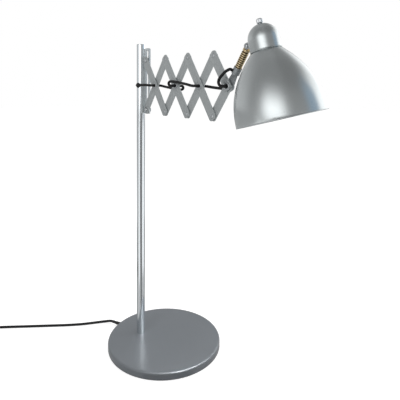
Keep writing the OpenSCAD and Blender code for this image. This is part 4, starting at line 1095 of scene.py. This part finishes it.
fork_lean = math.radians(34)
# Painted shade: a darker copy of the bar steel for the fork.
fork_steel_painted_shade = strip_finish("bar_steel_fork", tone(146, 151, 153), tone(164, 169, 171),
                          fork_lean - math.pi / 2)
dress("head_fork", fork_steel_painted_shade, 0.3 * mm)
at_stem = axes_at(pivot("head_swivel"), stem_across, Vector((0, 1, 0)), stem_axis)
rib_from = 32.6
rib_pitch = 3.0
rib_count = 8
rib_root = 4.3
rib_crest = 5.2
stem_ribs = [point for i in range(rib_count) for point in
             ((rib_root, rib_from + (i + 0.08) * rib_pitch),
              (rib_crest, rib_from + (i + 0.3) * rib_pitch),
              (rib_crest, rib_from + (i + 0.7) * rib_pitch),
              (rib_root, rib_from + (i + 0.92) * rib_pitch))]
stem_profile = in_mm([(3.2, 28), (5.0, 28), (5.0, 32), (rib_root, rib_from)] + stem_ribs
                     + [(rib_root, 57.7), (5.0, 57.9), (5.0, 58.5), (3.2, 58.5)])
stem = lathe("ribbed_brass_stem", eased(stem_profile, 0.4 * mm, 4), turns=72)
stem.matrix_world = at_stem
ribbed_brass = brass_finish("brass_ribbed", (rib_root * mm, rib_crest * mm))
fitted(stem, ribbed_brass, "fork", "brass_stem")
dress("stem_swivel", brass, 0.3 * mm)


# ------------------------------------------------------------------ knuckle
# Two steel ears on a lug that is fixed to the cap hold the barrel's eye on a screw with a nut, so
# that the shade can be tilted.
screw_axis = Vector(joints["shade_tilt"]["axis"])
shade_up = Vector(joints["switch_turn"]["axis"])
shade_out = screw_axis.cross(shade_up)
at_screw = axes_at(pivot("shade_tilt"), shade_out, -shade_up, screw_axis)
dress("cap_lug", rivet_nickel, 0.35 * mm)
screw_profile = in_mm([(0, -6.3), (1.4, -6.3), (2.6, -5.8), (2.95, -4.55), (1.5, -4.55),
                       (1.5, 7.4), (1.1, 7.7), (0, 7.7)])
screw = lathe("knuckle_pivot_screw", eased(screw_profile, 0.3 * mm, closed=False), at_screw, 48,
              closed=False)
fitted(screw, rivet_nickel, "head", "knuckle_screw")
hex_nut("knuckle_hex_nut", at_screw @ Matrix.Translation((0, 0, 4.45 * mm)), 2.75 * mm, 2.4 * mm,
        1.55 * mm, "head", "knuckle_nut")


# ------------------------------------------------------------------ shade: bell and cap
# The bell is spun from thin aluminium, lacquered satin silver outside and white inside. A cap of
# the same finish with a beaded lip sits over its neck.
mouth_height = 129 * mm
mouth = pivot("switch_turn") - mouth_height * shade_up
at_shade = axes_at(mouth, shade_out, screw_axis, shade_up)
neck = 21.0
mouth_r = 61.0
bell_h = 92.0
bell_power = 2.3


def bell_r(z):
    return neck + (mouth_r - neck) * (1 - (z / bell_h) ** bell_power)


def bell_in_r(z):
    slope = (mouth_r - neck) * bell_power / bell_h * (z / bell_h) ** (bell_power - 1)
    return bell_r(z) - math.sqrt(1 + slope ** 2)


def silver_finish():
    """Satin silver lacquer over spun metal: fine flake, faint spinning lines round the axis."""
    recipe = new_finish("silver_shade")
    flake = recipe.noise(5200.0, 1.0)
    cloud = recipe.noise(16.0, 3.0)
    rings = recipe.noise(900.0, 2.0, stretch=(0.06, 0.06, 1))
    colour = recipe.blend(cloud, tone(184, 189, 190), tone(192, 197, 198))
    colour = recipe.blend(recipe.ramp(flake, (0.55, 0.0), (0.8, 0.15)), colour, tone(215, 220, 221))
    return surface(recipe, colour, 0.22 + 0.03 * cloud + 0.03 * rings, 0.92,
                   relief(recipe, rings, 0.000003))


def turned_shade(name, profile, outside, turns=160):
    """A shade piece turned in its own frame, then placed. outside tells which faces are silver."""
    piece = lathe(name, profile, turns=turns)
    piece.matrix_world = at_shade
    piece.data.materials.append(silver_shade)
    piece.data.materials.append(shade_inside)
    for face in piece.data.polygons:
        face.material_index = 0 if outside(face) else 1
    return piece


silver_shade = silver_finish()
shade_inside = mottled("shade_inside", (tone(236, 236, 233), tone(243, 243, 241)), (30.0, 3.0),
                       (400.0, 2.0), (0.36, 0.1), 0.00003)
cap_wall = 1.2
collar = neck - cap_wall - 0.05
collar_high = 5.5
groove = 0.8
inner_top = bell_h - 2.4
outer_curve = ([(bell_r(bell_h * i / 56), bell_h * i / 56) for i in range(2, 56)]
               + [(bell_r(bell_h - groove), bell_h - groove), (neck - 0.35, bell_h - 0.3),
                  (neck - 1.1, bell_h)])
inner_curve = [(bell_in_r(inner_top * i / 48), inner_top * i / 48) for i in range(48, 1, -1)]
bead = arc(mouth_r - 0.7, 1.0, 1.0, -170, 60, 12)
bell_profile = (bead + outer_curve
                + [(collar, bell_h), (collar, bell_h + collar_high), (collar - 1, bell_h + collar_high),
                   (collar - 1, bell_h - 1.5)] + inner_curve)
bell = turned_shade("bell_shade", in_mm(bell_profile),
                    lambda face: face.normal.dot(Vector((face.center.x, face.center.y, 0))) > -1e-4
                    or face.center.z > 93 * mm)
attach(bell, "head")
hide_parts("shade_bell")

cap_from = 92.3
dome_from = 107.8
cap_top = 128.8
lip = arc(neck - 0.35, cap_from + 0.85, 0.7, -80, 70, 8)
cap_profile = ([(neck - cap_wall, cap_from), (neck - 0.8, cap_from)] + lip
               + [(neck, cap_from + 1.6), (neck, 96), (neck, 100), (neck, 104)]
               + arc(0, dome_from, neck, 0, 79, 26)
               + [(3.6, cap_top - 0.3), (3.4, cap_top), (3.2, cap_top + 0.42), (2.1, cap_top + 0.5),
                  (2.1, cap_top - 1.2)]
               + arc(0, dome_from, neck - cap_wall, 83, 0, 20))
cap = turned_shade("cap_dome", in_mm(cap_profile), lambda face: True, 128)
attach(cap, "head")
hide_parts("shade_cap")


# ------------------------------------------------------------------ lamp holder and bulb
# White moulded holder in the cap, a ribbed ring that clamps the bell's neck to it, and an opal
# globe bulb with a metal screw cap.
holder_white = moulded_finish("holder_white", tone(228, 225, 216), tone(236, 234, 226), 0.34)


def shade_piece(name, profile, material, node, ease=0.4, turns=96, closed=False, ripple=None,
                body="head"):
    """A turned piece on the shade's axis. The profile's heights count from the bell's mouth."""
    piece = lathe(name, eased(in_mm(profile), ease * mm, 3, closed=closed), turns=turns, closed=closed,
                  ripple=ripple)
    piece.matrix_world = at_shade
    fitted(piece, material, body, node)


holder_r = 18.55
shade_piece("bulb_holder_moulding",
            [(0, 104), (13, 104), (holder_r, 96), (holder_r, 71.2), (holder_r - 0.8, 70), (13.55, 70),
             (13.55, 92), (12.55, 94), (0, 94)], holder_white, "lamp_holder", 0.8)
ring_r = bell_in_r(89.5) - 0.3


def grip_ribs(angle, radius, height):
    """Finger grooves round the outside of the clamp ring."""
    if radius < (holder_r + 1.2) * mm:
        return 0
    return -0.5 * mm * max(0, math.cos(24 * angle)) ** 6


shade_piece("clamp_ring",
            [(ring_r, 83.5), (ring_r, 89.5), (holder_r + 0.05, 89.5), (holder_r + 0.05, 83.5)],
            holder_white, "holder_ring", 0.5, 192, True, grip_ribs)


opal_glass = mottled("opal_glass", (tone(240, 238, 232), tone(246, 245, 240)), (50.0, 3.0), None,
                     (0.16, 0.06), coat=0.6, extra={"Coat Roughness": 0.04})
bulb_metal = mottled("bulb_metal", (tone(196, 198, 199), tone(172, 174, 176)), (160.0, 3.0),
                     (1200.0, 2.0), (0.26, 0.16), 0.00002, metallic=1.0)
screw_cap_low = 68.5
globe_neck = 8
globe_r = 22.5
globe_mid = screw_cap_low - globe_neck - globe_r * 0.92
globe_profile = ([(0, globe_mid - globe_r)] + arc(0, globe_mid, globe_r, -86, 52, 40)
                 + [(11.6, globe_mid + globe_r * 1.06), (11, 66.5), (11, 76.5), (0, 76.5)])
shade_piece("globe_bulb", globe_profile, opal_glass, "bulb_glass", 1.2, 96)
thread_from = 69.1
thread_pitch = 3.6
thread_root = 12.2
thread_crest = 13.1
thread = [(radius, thread_from + (i + share) * thread_pitch) for i in range(5) for radius, share in
          ((thread_root, 0.2), (thread_crest, 0.4), (thread_crest, 0.6), (thread_root, 0.8))]
shade_piece("bulb_screw_cap", [(11.1, screw_cap_low), (12.5, screw_cap_low)] + thread
            + [(10.1, 90.6), (4.5, 92.8), (4, 93.9), (0, 93.9), (0, 92), (3.4, 91.8), (9.5, 88.6),
               (11.1, 87)],
            bulb_metal, "bulb_cap", 0.7, 72, True)


# ------------------------------------------------------------------ rotary switch
# A switch body under the cap's crown, and a fluted chrome knob on its spindle.
dress("switch_body", black_plastic)
knob_chrome = plated_finish("knob_chrome", tone(222, 225, 227), tone(200, 203, 206), 0.1)
knob_r = 4.3
knob_from = 129.4
knob_high = 6.4


def knob_flutes(angle, radius, height):
    """Sixteen grip flutes round the knob, none at its lip or its crown."""
    rise_share = (height / mm - knob_from) / knob_high
    if radius < 3.6 * mm or rise_share < 0.14 or rise_share > 0.8:
        return 0
    return -0.3 * mm * (0.5 + 0.5 * math.cos(16 * angle)) ** 2


knob_profile = [(0, 117.05), (2, 117.05), (2, 129.3), (2, knob_from), (3.4, knob_from),
                (knob_r, 130.3), (knob_r, 131.4), (knob_r, 132.6), (knob_r, 133.8), (4.28, 134.4),
                (3.9, 135.2), (2.8, 135.8), (0, 135.8)]
shade_piece("fluted_knob", knob_profile, knob_chrome, "switch_knob", 0.25, 160,
            ripple=knob_flutes, body="knob")
